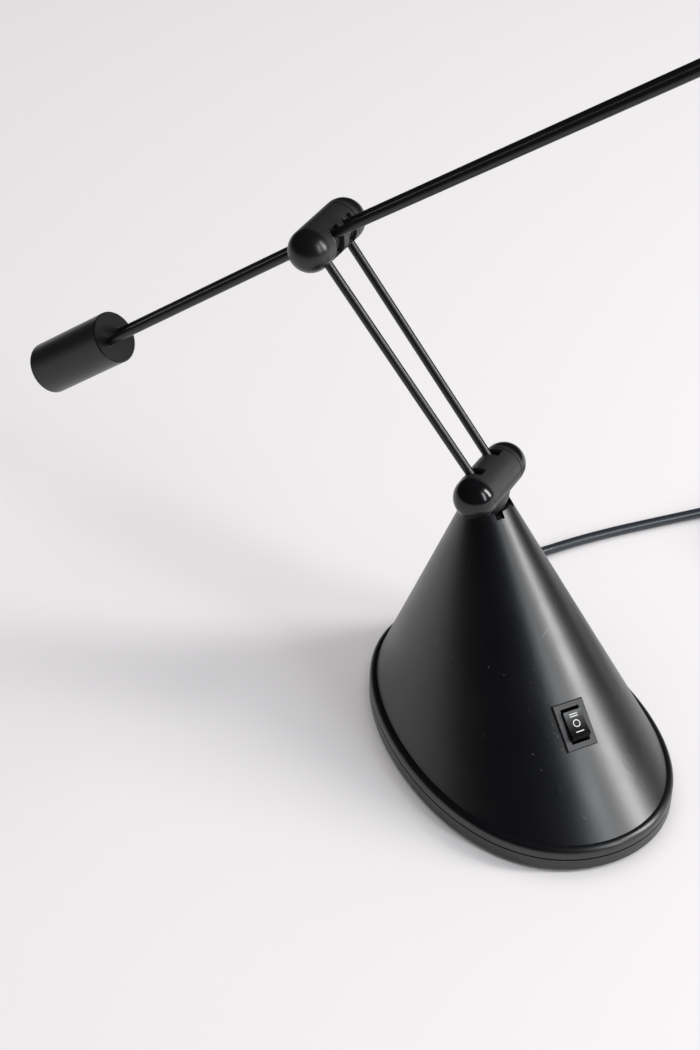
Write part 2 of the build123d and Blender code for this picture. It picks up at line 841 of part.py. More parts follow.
def sleeve_cavity(joint, drum_half, half):
    """What is bored out of the sleeve: the drum's room, open to the far end, and the axle's hole."""
    room_half = drum_half + end_play + spring_thickness
    with BuildPart() as cavity:
        with BuildSketch(capsule_plane(joint, -room_half)):
            Circle(sleeve_bore)
        extrude(amount=room_half + half)
        with BuildSketch(capsule_plane(joint, -drum_half - pivot_reach - pivot_end_gap)):
            Circle(pivot_radius + running_clearance)
        extrude(amount=pivot_reach)
    return cavity.part


def joint_cap(joint, drum_half, half, lip):
    """The far dome, with a spigot that fills the sleeve's bore and carries the axle."""
    room_half = drum_half + end_play + spring_thickness
    with BuildPart() as cap:
        with Locations(Location(joint + joint_axis * half)):
            Sphere(capsule_radius)
        with BuildSketch(capsule_plane(joint, half)):
            Circle(capsule_radius + 1)
        extrude(amount=-capsule_radius - 1, mode=Mode.SUBTRACT)
        with BuildSketch(capsule_plane(joint, half - lip)):
            Circle(capsule_radius)
        extrude(amount=lip)
        with BuildSketch(capsule_plane(joint, room_half)):
            Circle(sleeve_bore)
        extrude(amount=half - lip - room_half)
        with BuildSketch(capsule_plane(joint, room_half - 1)):
            Circle(pivot_radius + running_clearance)
        extrude(amount=drum_half + pivot_reach + pivot_end_gap - room_half + 1, mode=Mode.SUBTRACT)
    return cap.part


def joint_drum(joint, drum_half):
    """The insulating drum, with a round pivot at each end that turns in the sleeve and the cap."""
    with BuildPart() as drum:
        with BuildSketch(capsule_plane(joint, 0)):
            Circle(sleeve_bore - drum_gap)
        extrude(amount=drum_half - contact_thickness, both=True)
        with BuildSketch(capsule_plane(joint, 0)):
            Circle(contact_bore)
        extrude(amount=drum_half, both=True)
        with BuildSketch(capsule_plane(joint, 0)):
            Circle(pivot_radius)
        extrude(amount=drum_half + pivot_reach, both=True)
    return drum.part


def end_rings(joint, drum_half):
    """Two metal contact rings, one on each end of the drum."""
    with BuildPart() as rings:
        for level in (-drum_half, drum_half - contact_thickness):
            with BuildSketch(capsule_plane(joint, level)):
                Circle(sleeve_bore - drum_gap)
                Circle(contact_bore, mode=Mode.SUBTRACT)
            extrude(amount=contact_thickness)
    return rings.part


def end_springs(joint, drum_half):
    """Two spring washers against the sleeve's end walls."""
    room_half = drum_half + end_play + spring_thickness
    with BuildPart() as springs:
        for level in (-room_half, room_half - spring_thickness):
            with BuildSketch(capsule_plane(joint, level)):
                Circle(sleeve_bore - drum_gap)
                Circle(contact_bore, mode=Mode.SUBTRACT)
            extrude(amount=spring_thickness)
    return springs.part


def rod(start, end):
    """A straight round rod."""
    with BuildPart() as bar:
        with BuildSketch(Plane(origin=start, z_dir=end - start)):
            Circle(rod_radius)
        extrude(amount=(end - start).length)
    return bar.part


# ---------------------------------------------------------------- lower arm rods
lower_rods = {}
for side, name in ((-1, "near"), (1, "far")):
    foot = lower_joint + joint_axis * side * lower_rods_bottom / 2
    top = upper_joint + joint_axis * side * lower_rods_top / 2
    way = (top - foot).normalized()
    lower_rods[name] = rod(foot - way * lower_rod_grip, top - way * (capsule_radius - socket_depth))
    keep(lower_rods[name], f"lower_rod_{name}")

# ---------------------------------------------------------------- upper arm rods
# Each rod runs straight from the head to the joint and on to the weight, with a slight set where it
# passes through the joint.
head_socket = head_joint - head_way * (capsule_radius - socket_depth)
weight_face = upper_joint + weight_way * weight_distance
upper_rods = {}
for side, name in ((-1, "near"), (1, "far")):
    tail = upper_joint + weight_way * (weight_distance + weight_length - rod_end_gap)
    points = (
        tail + joint_axis * side * upper_rods_at_weight / 2,
        upper_joint + joint_axis * side * upper_rods_at_joint / 2,
        head_socket + joint_axis * side * upper_rods_at_head / 2,
    )
    upper_rods[name] = lead(points, rod_set_radius, rod_radius)
    keep(upper_rods[name], f"upper_rod_{name}")

# ---------------------------------------------------------------- lower joint and neck
half_slot = math.degrees(math.asin(rod_radius / sleeve_bore)) + slot_end_gap
lower_rod_angle = 90 + lower_arm_lean
with BuildPart() as lower_sleeve:
    add(sleeve_blank(lower_joint, capsule_half, lower_cap_lip))
    # neck: a round bowl under the sleeve, then a hollow shank down through the bush
    with BuildSketch(Plane.XY.offset(neck_shoulder)):
        Circle(neck_radius)
    extrude(amount=lower_joint_height - neck_shoulder)
    with BuildSketch(Plane.XZ):
        with BuildLine():
            Line((0, neck_shoulder), (neck_radius, neck_shoulder))
            ThreePointArc((neck_radius, neck_shoulder), (neck_waist, shell_height), (neck_foot_radius, neck_foot))
            Line((neck_foot_radius, neck_foot), (0, neck_foot))
            Line((0, neck_foot), (0, neck_shoulder))
        make_face()
    revolve(axis=Axis.Z)
    with BuildSketch(Plane.XY.offset(shank_low)):
        Circle(shank_radius)
    extrude(amount=neck_foot - shank_low)
    add(sleeve_cavity(lower_joint, lower_drum_half, capsule_half), mode=Mode.SUBTRACT)
    with BuildSketch(Plane.XY.offset(shank_low)):
        Circle(neck_bore)
    extrude(amount=lower_joint_height - sleeve_bore - shank_low + neck_bore_overlap, mode=Mode.SUBTRACT)
    for side in (-1, 1):
        slot_middle = lower_rods_bottom / 2
        slot = sector(
            lower_joint,
            slot_middle - rod_radius - slot_side_gap,
            slot_middle + rod_radius + slot_side_gap,
            lower_rod_angle - lower_slot[1] - half_slot,
            lower_rod_angle - lower_slot[0] + half_slot,
            side,
        )
        add(slot, mode=Mode.SUBTRACT)
keep(lower_sleeve.part, "neck_and_lower_sleeve")
keep(joint_cap(lower_joint, lower_drum_half, capsule_half, lower_cap_lip), "lower_joint_cap")
keep(end_springs(lower_joint, lower_drum_half), "lower_contact_springs")

with BuildPart() as lower_drum:
    add(joint_drum(lower_joint, lower_drum_half))
    for bar in lower_rods.values():
        add(bar, mode=Mode.SUBTRACT)
keep(lower_drum.part, "lower_joint_drum")

with BuildPart() as lower_rings:
    add(end_rings(lower_joint, lower_drum_half))
    for bar in lower_rods.values():
        add(bar, mode=Mode.SUBTRACT)
keep(lower_rings.part, "lower_contact_rings")

with BuildPart() as swivel_washer:
    with BuildSketch(Plane.XY.offset(washer_low)):
        Circle(washer_radius)
        Circle(shank_radius, mode=Mode.SUBTRACT)
    extrude(amount=washer_thickness)
keep(swivel_washer.part, "swivel_washer")

with BuildPart() as swivel_nut:
    with BuildSketch(Plane.XY.offset(nut_low)):
        RegularPolygon(nut_across / 2, 6, major_radius=False)
        Circle(shank_radius, mode=Mode.SUBTRACT)
    extrude(amount=nut_height)
keep(swivel_nut.part, "swivel_nut")

# ---------------------------------------------------------------- upper joint
upper_slot_inner = upper_rods_at_joint / 2 - rod_radius - slot_side_gap
upper_slot_edge = upper_rods_at_joint / 2 + rod_radius + slot_side_gap
with BuildPart() as upper_sleeve:
    add(sleeve_blank(upper_joint, capsule_half, upper_cap_lip))
    add(sleeve_cavity(upper_joint, upper_drum_half, capsule_half), mode=Mode.SUBTRACT)
    for bar in lower_rods.values():
        add(bar, mode=Mode.SUBTRACT)
    for side in (-1, 1):
        for rod_angle in (upper_arm_rise, 180 + upper_arm_rise + upper_arm_set):
            slot_start = rod_angle - upper_slot[1] - half_slot
            slot_stop = rod_angle - upper_slot[0] + half_slot
            add(sector(upper_joint, upper_slot_inner, upper_slot_edge, slot_start, slot_stop, side), mode=Mode.SUBTRACT)
            # the slot is wider than the rod needs, with a floor that leaves the end wall standing
            wide = sector(
                upper_joint, upper_slot_edge, upper_slot_outer, slot_start, slot_stop, side, slot_floor
            )
            add(wide, mode=Mode.SUBTRACT)
keep(upper_sleeve.part, "upper_joint_sleeve")

with BuildPart() as upper_cap:
    add(joint_cap(upper_joint, upper_drum_half, capsule_half, upper_cap_lip))
    for bar in lower_rods.values():
        add(bar, mode=Mode.SUBTRACT)
keep(upper_cap.part, "upper_joint_cap")
keep(end_springs(upper_joint, upper_drum_half), "upper_contact_springs")

with BuildPart() as upper_drum:
    add(joint_drum(upper_joint, upper_drum_half))
    for bar in upper_rods.values():
        add(bar, mode=Mode.SUBTRACT)
keep(upper_drum.part, "upper_joint_drum")

with BuildPart() as upper_rings:
    add(end_rings(upper_joint, upper_drum_half))
    for bar in upper_rods.values():
        add(bar, mode=Mode.SUBTRACT)
keep(upper_rings.part, "upper_contact_rings")

# ---------------------------------------------------------------- counterweight
weight_plane = Plane(origin=weight_face, x_dir=joint_axis, z_dir=weight_way)
with BuildPart() as counterweight:
    with BuildSketch(weight_plane):
        Circle(weight_radius)
    extrude(amount=weight_length)
    chamfer(counterweight.edges().filter_by(GeomType.CIRCLE), weight_chamfer)
    with BuildSketch(weight_plane):
        with GridLocations(upper_rods_at_weight, 1, 2, 1):
            Circle(rod_radius + weight_bush_wall)
    extrude(amount=weight_length - rod_end_gap, mode=Mode.SUBTRACT)
    grub_plane = Plane(
        origin=weight_face + weight_way * weight_length / 2,
        x_dir=weight_way,
        z_dir=weight_way.cross(joint_axis),
    )
    with BuildSketch(grub_plane):
        Circle(grub_radius)
    extrude(amount=weight_radius + 1, mode=Mode.SUBTRACT)
keep(counterweight.part, "counterweight")

with BuildPart() as weight_bushes:
    with BuildSketch(weight_plane):
        with GridLocations(upper_rods_at_weight, 1, 2, 1):
            Circle(rod_radius + weight_bush_wall)
    extrude(amount=weight_length - rod_end_gap)
    for bar in upper_rods.values():
        add(bar, mode=Mode.SUBTRACT)
keep(weight_bushes.part, "weight_bushes")

with BuildPart() as weight_screw:
    with BuildSketch(grub_plane.offset(weight_radius - grub_sunk - grub_depth)):
        Circle(grub_radius)
    extrude(amount=grub_depth)
    with BuildSketch(grub_plane.offset(weight_radius - grub_sunk)):
        RegularPolygon(grub_key, 6)
    extrude(amount=-grub_key_depth, mode=Mode.SUBTRACT)
keep(weight_screw.part, "weight_grub_screw")

# ---------------------------------------------------------------- head joint
with BuildPart() as head_sleeve:
    add(sleeve_blank(head_joint, head_capsule_half, head_cap_lip))
    add(sleeve_cavity(head_joint, head_drum_half, head_capsule_half), mode=Mode.SUBTRACT)
    for bar in upper_rods.values():
        add(bar, mode=Mode.SUBTRACT)
    stem_half_slot = math.degrees(math.asin(stem_radius / sleeve_bore)) + slot_end_gap
    for side in (-1, 1):
        slot = sector(
            head_joint,
            0,
            stem_radius + slot_side_gap,
            -90 - head_slot[1] - stem_half_slot,
            -90 - head_slot[0] + stem_half_slot,
            side,
        )
        add(slot, mode=Mode.SUBTRACT)
keep(head_sleeve.part, "head_joint_sleeve")

with BuildPart() as head_cap:
    add(joint_cap(head_joint, head_drum_half, head_capsule_half, head_cap_lip))
    for bar in upper_rods.values():
        add(bar, mode=Mode.SUBTRACT)
keep(head_cap.part, "head_joint_cap")
keep(end_springs(head_joint, head_drum_half), "head_contact_springs")
keep(end_rings(head_joint, head_drum_half), "head_contact_rings")

stem_plane = Plane(origin=head_joint, x_dir=(1, 0, 0), z_dir=(0, 0, -1))
with BuildPart() as head_drum:
    add(joint_drum(head_joint, head_drum_half))
    with BuildSketch(stem_plane.offset(stem_seat)):
        Circle(stem_radius)
    extrude(amount=capsule_radius, mode=Mode.SUBTRACT)
keep(head_drum.part, "head_joint_drum")

with BuildPart() as stem:
    with BuildSketch(stem_plane.offset(stem_seat)):
        Circle(stem_radius)
        Circle(stem_bore, mode=Mode.SUBTRACT)
    extrude(amount=shade_start + collar_height - stem_seat)
keep(stem.part, "head_stem")

with BuildPart() as head_leads:
    with BuildSketch(stem_plane.offset(stem_seat)):
        with GridLocations(2 * head_lead_radius + head_lead_gap, 1, 2, 1):
            Circle(head_lead_radius)
    extrude(amount=shade_start + collar_height - stem_seat)
keep(head_leads.part, "head_leads")


# ---------------------------------------------------------------- shade
def bowl(gap, length):
    """The shade's shape as a solid of revolution, moved in by gap; depth runs away from the joint."""
    with BuildPart() as body:
        with BuildSketch(Plane(origin=head_joint, x_dir=(1, 0, 0), z_dir=(0, 1, 0))):
            with BuildLine():
                start = shade_start + gap
                end = shade_start + length
                Line((0, start), (shade_top_radius - gap, start))
                ThreePointArc(
                    (shade_top_radius - gap, start),
                    (shade_radius * 0.80 - gap, shade_start + shade_depth * 0.42),
                    (shade_radius - gap, end),
                )
                Line((shade_radius - gap, end), (0, end))
                Line((0, end), (0, start))
            make_face()
        revolve(axis=Axis(head_joint, (0, 0, 1)))
    return body.part


with BuildPart() as shade:
    add(bowl(0, shade_depth))
    add(bowl(shade_wall, shade_depth), mode=Mode.SUBTRACT)
    with BuildSketch(stem_plane.offset(shade_start)):
        Circle(collar_radius)
    extrude(amount=collar_height)
    with BuildSketch(stem_plane.offset(shade_start)):
        Circle(stem_radius)
    extrude(amount=collar_height, mode=Mode.SUBTRACT)
keep(shade.part, "shade")

reflector_in = shade_wall + reflector_gap
glass_level = shade_start + shade_depth - glass_inset
holder_start = shade_start + collar_height
glass_radius = shade_radius - reflector_in - glass_margin
with BuildPart() as reflector:
    add(bowl(reflector_in, shade_depth))
    add(bowl(reflector_in + reflector_wall, shade_depth), mode=Mode.SUBTRACT)
    with BuildSketch(stem_plane):
        Circle(holder_radius)
    extrude(amount=glass_level, mode=Mode.SUBTRACT)
    with BuildSketch(stem_plane.offset(glass_level)):
        Circle(shade_radius * 2)
    extrude(amount=shade_depth, mode=Mode.SUBTRACT)
keep(reflector.part, "reflector")

with BuildPart() as lamp_holder:
    with BuildSketch(stem_plane.offset(holder_start)):
        Circle(holder_radius)
    extrude(amount=holder_height)
    chamfer(lamp_holder.edges().group_by(Axis.Z)[0], holder_edge)
    with BuildSketch(stem_plane.offset(holder_start + holder_height)):
        with GridLocations(bulb_pin_spacing, 1, 2, 1):
            Circle(bulb_pin_radius)
    extrude(amount=-bulb_pin_length, mode=Mode.SUBTRACT)
keep(lamp_holder.part, "lamp_holder")

bulb_start = holder_start + holder_height
with BuildPart() as bulb:
    with BuildSketch(stem_plane.offset(bulb_start)):
        RectangleRounded(bulb_foot_width, bulb_foot_thickness, bulb_foot_corner)
    extrude(amount=bulb_foot_height)
    with BuildSketch(stem_plane.offset(bulb_start + bulb_foot_height - bulb_overlap)):
        Circle(bulb_radius)
    extrude(amount=bulb_length - bulb_foot_height + bulb_overlap - bulb_radius)
    with Locations(Location(head_joint - Vector(0, 0, bulb_start + bulb_length - bulb_radius))):
        Sphere(bulb_radius)
    with BuildSketch(stem_plane.offset(bulb_start)):
        with GridLocations(bulb_pin_spacing, 1, 2, 1):
            Circle(bulb_pin_radius)
    extrude(amount=-bulb_pin_length)
keep(bulb.part, "halogen_bulb")

with BuildPart() as cover_glass:
    with BuildSketch(stem_plane.offset(glass_level)):
        Circle(glass_radius)
    extrude(amount=glass_thickness)
    chamfer(cover_glass.edges().filter_by(GeomType.CIRCLE), glass_edge)
keep(cover_glass.part, "cover_glass")

# the ring holds the glass and fills the way out to the shade's wall
with BuildPart() as glass_ring:
    add(bowl(shade_wall + ring_fit, shade_depth))
    with BuildSketch(stem_plane):
        Circle(shade_radius * 2)
    extrude(amount=glass_level, mode=Mode.SUBTRACT)
    with BuildSketch(stem_plane.offset(glass_level + ring_height)):
        Circle(shade_radius * 2)
    extrude(amount=shade_depth, mode=Mode.SUBTRACT)
    with BuildSketch(stem_plane.offset(glass_level)):
        Circle(glass_radius)
    extrude(amount=glass_thickness, mode=Mode.SUBTRACT)
    with BuildSketch(stem_plane.offset(glass_level)):
        Circle(glass_radius - ring_lip)
    extrude(amount=ring_height, mode=Mode.SUBTRACT)
keep(glass_ring.part, "glass_ring")

# ---------------------------------------------------------------- wires inside the base
with BuildPart() as mains_leads:
    for side in (-1, 1):
        entry = exit_point + exit_out * boot_inner - across_exit * side * mains_lead_gap
        pad = ahead(block_forward - block_length / 2, block_side + side * terminal_spacing / 2, floor_top + terminal_depth)
        bend_one = entry - exit_out * 5.0
        bend_two = pad - ahead(5.5, 0, 0)
        add(lead((entry, bend_one, bend_two, pad), mains_lead_bend, mains_lead_radius))
        out = ahead(block_forward + block_length / 2, block_side + side * terminal_spacing / 2, floor_top + terminal_depth)
        coil_back = ahead(
            core_forward - core_depth / 2 - winding_bulge,
            side * 5.0 + 6.0,
            floor_top + core_middle - 6.0,
        )
        add(lead((out, out + ahead(4.0, 0, 0), coil_back - ahead(4.5, 0, 0), coil_back), lead_bend, mains_lead_radius))
        blade_end = switch_plane.origin - switch_out * (switch_body_depth + blade_length)
        blade_end = blade_end + down_line * (1.5 + side * 1.5) * blade_spacing / 3
        coil_front = ahead(
            core_forward + core_depth / 2 + winding_bulge,
            side * 4.0,
            floor_top + core_middle - side * 4.0,
        )
        add(
            lead(
                (blade_end, blade_end - switch_out * 4.0, coil_front + ahead(5.0, 0, 0), coil_front),
                lead_bend,
                mains_lead_radius,
            )
        )
keep(mains_leads.part, "mains_leads")

with BuildPart() as secondary_leads:
    for side in (-1, 1):
        coil_side = ahead(
            core_forward - core_depth / 2 - winding_bulge,
            side * 3.0 - 8.0,
            floor_top + core_middle + 7.0,
        )
        low = Vector(side * secondary_lead_gap, 0, nut_low - secondary_lead_drop)
        top = Vector(side * secondary_lead_gap, 0, lower_joint_height - sleeve_bore - secondary_lead_end)
        corners = (coil_side, coil_side - ahead(5.0, 0, 0), low, top)
        add(lead(corners, secondary_lead_bend, secondary_lead_radius))
keep(secondary_leads.part, "secondary_leads")

# ---------------------------------------------------------------- mains cord
cord_radius = cord_diameter / 2
boot_end = exit_point + exit_out * boot_length
coil_level = cord_radius + coil_lift
# Chosen by hand: out of the boot, down to the floor behind the base, and away to the far right.
first_run = boot_end + exit_out * 11.0
cord_route = (
    boot_end,
    first_run,
    Vector(-24.6, 91.5, 4.8),
    Vector(-17.0, 106.8, 2.7),
    Vector(-4.2, 125.9, 2.5),
    Vector(10.4, 144.2, 2.5),
    Vector(29.0, 165.2, 2.6),
    Vector(50.3, 187.9, coil_level),
    Vector(70.2, 210.6, coil_level),
)


def corner_radii(points):
    """As large a bend at each point as its two runs allow."""
    radii = []
    for before, here, after in zip(points, points[1:], points[2:]):
        angle = (here - before).get_angle(after - here)
        shorter = min((here - before).length, (after - here).length)
        radii.append(0.45 * shorter / math.tan(math.radians(angle / 2)))
    return radii


def cord_tube(points):
    """A plain round cord along straight runs joined by tangent arcs."""
    with BuildPart() as tube:
        with BuildLine() as route:
            FilletPolyline(*points, radius=corner_radii(points))
        with BuildSketch(Plane(origin=route.line @ 0, z_dir=route.line % 0)):
            Circle(cord_radius)
        sweep(path=route.wires()[0])
    return tube.part, route.wires()[0].length


cord_part, cord_length = cord_tube(cord_route)
keep(cord_part, "mains_cord")
cord_section = math.pi * cord_radius**2
print("cord radii", [round(r, 1) for r in corner_radii(cord_route)])
print("cord length", round(cord_length, 1), "volume ratio", round(cord_part.volume / (cord_section * cord_length), 4))

# The put-away length: one layer winds in and the next winds out on top of it.
coil_pitch = cord_diameter + coil_gap
coil_inner = coil_middle_radius - coil_turns_in * coil_pitch / 2
arrival = cord_route[-1]
arrival_way = cord_route[-1] - cord_route[-2]
arrival_way = Vector(arrival_way.X, arrival_way.Y, 0).normalized()
coil_start_radius = coil_inner + coil_turns_in * coil_pitch
# the spiral draws in as it turns, so its first direction leans inwards a little
spiral_lean = math.degrees(math.atan(coil_pitch / (2 * math.pi * coil_start_radius)))
coil_start_angle = math.degrees(math.atan2(arrival_way.Y, arrival_way.X)) + 90 + spiral_lean
coil_start = arrival + arrival_way * cord_diameter
coil_centre = Vector(
    coil_start.X - coil_start_radius * math.cos(math.radians(coil_start_angle)),
    coil_start.Y - coil_start_radius * math.sin(math.radians(coil_start_angle)),
    coil_start.Z,
)
climb_half = 0.25


def coil_radius(turns):
    """The spiral's radius, with the reversal rounded over half a turn."""
    off = abs(turns - coil_turns_in)
    if off < climb_half:
        off = (off * off + climb_half * climb_half) / (2 * climb_half)
    return coil_inner + coil_pitch * off


def coil_height(turns):
    """The lower layer, the climb, and the upper layer."""
    share = (turns - coil_turns_in + climb_half) / (2 * climb_half)
    share = min(1.0, max(0.0, share))
    return coil_level + coil_pitch * share * share * (3 - 2 * share)


def coil_point(turns):
    """A point of the coil's centre line, winding clockwise seen from above."""
    angle = math.radians(coil_start_angle - 360 * turns)
    radius = coil_radius(turns)
    return Vector(
        coil_centre.X + radius * math.cos(angle),
        coil_centre.Y + radius * math.sin(angle),
        coil_height(turns),
    )


def coil_way(turns):
    """The coil's direction at a point."""
    step = 0.0005
    return (coil_point(turns + step) - coil_point(turns - step)).normalized()


def biarc(start, start_way, end, end_way):
    """Two tangent arcs from one point and direction to another."""
    gap = end - start
    both = start_way + end_way
    a = 2 * (1 - start_way.dot(end_way))
    b = gap.dot(both)
    reach = (-b + math.sqrt(b * b + a * gap.dot(gap))) / a
    knee_one = start + start_way * reach
    knee_two = end - end_way * reach
    middle = (knee_one + knee_two) * 0.5
    TangentArc(start, middle, tangent=start_way)
    TangentArc(middle, end, tangent=(knee_two - knee_one).normalized())


coil_turns = coil_turns_in + coil_turns_out
quarters = round(coil_turns * 4)
with BuildPart() as cord_coil:
    with BuildLine() as coil_line:
        previous = coil_point(0)
        previous_way = coil_way(0)
        Line(previous - previous_way * cord_diameter, previous)
        for quarter in range(1, quarters + 1):
            here = coil_point(quarter / 4)
            here_way = coil_way(quarter / 4)
            biarc(previous, previous_way, here, here_way)
            previous = here
            previous_way = here_way
        Line(previous, previous + previous_way * cord_diameter)
    with BuildSketch(Plane(origin=coil_line.line @ 0, z_dir=coil_line.line % 0)):
        Circle(cord_radius)
    sweep(path=coil_line.wires()[0])
coil_length = coil_line.wires()[0].length
keep(cord_coil.part, "cord_coil")
coil_end = previous + previous_way * cord_diameter
print("coil length", round(coil_length, 1), "volume ratio", round(cord_coil.part.volume / (cord_section * coil_length), 4))

samples = [coil_point(count / 48) for count in range(int(coil_turns * 48) + 1)]
least = 1000.0
for first in range(0, len(samples), 2):
    for second in range(first + 30, len(samples)):
        least = min(least, (samples[first] - samples[second]).length)
print("least gap of the coil to itself", round(least - cord_diameter, 2))

# The tail runs off the coil, level with the plug's middle.
plug_level = plug_thickness / 2
tail_way = Vector(previous_way.X, previous_way.Y, 0).normalized()
tail_side = Vector(tail_way.Y, -tail_way.X, 0)
tail_drop = plug_level - coil_end.Z
tail_route = (
    coil_end,
    coil_end + tail_way * 9.0,
    coil_end + tail_way * 21.0 + tail_side * 1.6 + Vector(0, 0, tail_drop),
    coil_end + tail_way * 30.0 + tail_side * 4.2 + Vector(0, 0, tail_drop),
)
tail_part, tail_length = cord_tube(tail_route)
keep(tail_part, "cord_tail")
print("tail radii", [round(r, 1) for r in corner_radii(tail_route)], "length", round(tail_length, 1))
inside_boot = 6.0
print("whole cord", round(cord_length + coil_length + tail_length + inside_boot, 1))

# ---------------------------------------------------------------- cord tie
tie_turn = coil_start_angle - 180
tie_way = Vector(math.cos(math.radians(tie_turn)), math.sin(math.radians(tie_turn)), 0)
tie_in = coil_radius(coil_turns_in - 0.5) - cord_radius - tie_clearance
tie_out = coil_radius(0.5) + cord_radius + tie_clearance
tie_middle = (tie_in + tie_out) / 2
tie_low = coil_lift - tie_under
tie_high = coil_level + coil_pitch + cord_radius + tie_under
tie_centre = Vector(coil_centre.X, coil_centre.Y, (tie_low + tie_high) / 2) + tie_way * tie_middle
tie_plane = Plane(origin=tie_centre, x_dir=tie_way, z_dir=tie_way.cross(Vector(0, 0, 1)))
with BuildPart() as cord_tie:
    with BuildSketch(tie_plane):
        Rectangle(tie_out - tie_in + 2 * tie_thickness, tie_high - tie_low + 2 * tie_thickness)
        Rectangle(tie_out - tie_in, tie_high - tie_low, mode=Mode.SUBTRACT)
    extrude(amount=tie_width / 2, both=True)
keep(cord_tie.part, "cord_tie")

# ---------------------------------------------------------------- plug
plug_flat = (tail_route[-1] - tail_route[-2]).normalized()
plug_origin = tail_route[-1]
plug_plane = Plane(origin=plug_origin, x_dir=Vector(0, 0, 1).cross(plug_flat), z_dir=plug_flat)
with BuildPart() as mains_plug:
    with BuildSketch(plug_plane):
        RectangleRounded(plug_tail_width, plug_tail_thickness, plug_tail_corner)
    with BuildSketch(plug_plane.offset(plug_length * plug_taper)):
        RectangleRounded(plug_width, plug_thickness, plug_corner)
    loft()
    with BuildSketch(plug_plane.offset(plug_length * plug_taper)):
        RectangleRounded(plug_width, plug_thickness, plug_corner)
    extrude(amount=plug_length * (1 - plug_taper))
    fillet(mains_plug.faces().sort_by(Axis(plug_origin, plug_flat))[-1].edges(), plug_edge)
keep(mains_plug.part, "mains_plug")

with BuildPart() as plug_pins:
    with BuildSketch(plug_plane.offset(plug_length)):
        with GridLocations(pin_spacing, 1, 2, 1):
            Circle(pin_radius)
    extrude(amount=pin_length)
    fillet(plug_pins.faces().sort_by(Axis(plug_origin, plug_flat))[-2:].edges(), pin_end)
keep(plug_pins.part, "plug_pins")
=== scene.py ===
# %% [markdown]
# # A counterweight balance desk lamp
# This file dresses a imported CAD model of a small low-voltage desk lamp: an oval cone base, two pairs of
# thin rods, a cylindrical counterweight and a little halogen head. The CAD model is the fixed frame, so
# nothing in it is moved here. The cells below add the camera, the mains cord, the finishes, the table and
# the light, one step at a time, and each step says what the real thing is like before it is made.

# %% Load the frame
import json
import math

import bpy
from mathutils import Matrix, Vector


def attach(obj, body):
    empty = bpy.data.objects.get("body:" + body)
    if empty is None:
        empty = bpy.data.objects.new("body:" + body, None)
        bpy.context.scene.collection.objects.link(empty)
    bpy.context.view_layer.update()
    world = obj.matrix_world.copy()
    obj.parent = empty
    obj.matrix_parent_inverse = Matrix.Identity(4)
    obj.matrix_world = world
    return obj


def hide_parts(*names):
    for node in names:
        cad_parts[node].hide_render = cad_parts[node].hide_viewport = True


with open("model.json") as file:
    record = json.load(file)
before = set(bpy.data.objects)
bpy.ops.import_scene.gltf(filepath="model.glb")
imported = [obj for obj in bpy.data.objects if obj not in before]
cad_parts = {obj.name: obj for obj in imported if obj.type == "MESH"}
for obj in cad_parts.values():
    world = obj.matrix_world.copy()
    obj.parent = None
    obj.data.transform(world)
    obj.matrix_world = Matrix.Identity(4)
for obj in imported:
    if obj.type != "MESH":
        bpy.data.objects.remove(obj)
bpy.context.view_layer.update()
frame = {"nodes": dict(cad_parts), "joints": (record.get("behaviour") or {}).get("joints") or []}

bpy.ops.object.select_all(action="DESELECT")
nodes_of = frame["nodes"]
joint_of = {joint["name"]: joint for joint in frame["joints"]}

# %% [markdown]
# ## The camera
# The picture looks down on the lamp from in front and to its left, about 38 degrees above the table, with
# a short telephoto view that cuts off the lamp's head. A camera in Blender looks along its own -Z, so its
# matrix is made of three directions: to the right, up, and back towards the photographer. The picture is
# higher than it is wide, so the lens is the focal length in pixels, scaled from the picture's height to the
# sensor's.

# %% Camera
to_right = Vector((0.87752929, 0.47922209, 0.01698626))
to_top = Vector((-0.30527025, 0.53097748, 0.79048908))
to_back = Vector((0.36980051, -0.69886272, 0.61224054))
camera_place = Vector((0.3404, -0.7731, 0.7493))
focal_pixels = 2397.7
picture_height = 1050
sensor_size = 36.0

camera_data = bpy.data.cameras.new("photo_camera")
camera_data.sensor_width = sensor_size
camera_data.lens = focal_pixels / picture_height * sensor_size
camera_data.clip_start = 0.02
camera_data.clip_end = 50.0
camera = bpy.data.objects.new("photo_camera", camera_data)
bpy.context.scene.collection.objects.link(camera)
turned = Matrix((to_right, to_top, to_back)).transposed()
camera.matrix_world = Matrix.Translation(camera_place) @ turned.to_4x4()
bpy.context.scene.camera = camera
print("lens", round(camera_data.lens, 2), "mm")

# %% [markdown]
# ## The base's own front
# The base doesn't face the way the arms point: its long axis is turned to one side. Places on it are easier
# to read along that axis, so a small helper turns them into the lamp's axes.

# %% The base's axes
MM = 0.001
front_angle = math.radians(-34.5)


def ahead(forward, side, up):
    """A point given in millimetres from the base's own front, in the lamp's axes and metres."""
    return Vector(
        (
            (forward * math.cos(front_angle) - side * math.sin(front_angle)) * MM,
            (forward * math.sin(front_angle) + side * math.cos(front_angle)) * MM,
            up * MM,
        )
    )


print("the base's front points along", ahead(1000, 0, 0))

# %% [markdown]
# ## The mains cord
# A 5 mm black flex leaves the back of the base through a rubber boot, drops to the table and runs off to
# the right. It is 1.8 m long, and what the picture doesn't show is wound in a tied coil just past the
# picture's edge, with the plug beside it. A flex is stiff enough to lie in smooth curves, so it is one
# NURBS curve with a round bevel. Its points are the same that the CAD model's tube follows: those of the
# free stretch are listed one by one, and those of the coil come from a formula.

# %% Where the cord leaves the base
outline_middle = 35.6
outline_half_length = 89.0
outline_half_width = 58.5
outline_fullness = 0.05
front_broadening = 0.05
exit_turn = math.radians(150)
exit_height = 7.9
boot_length = 18

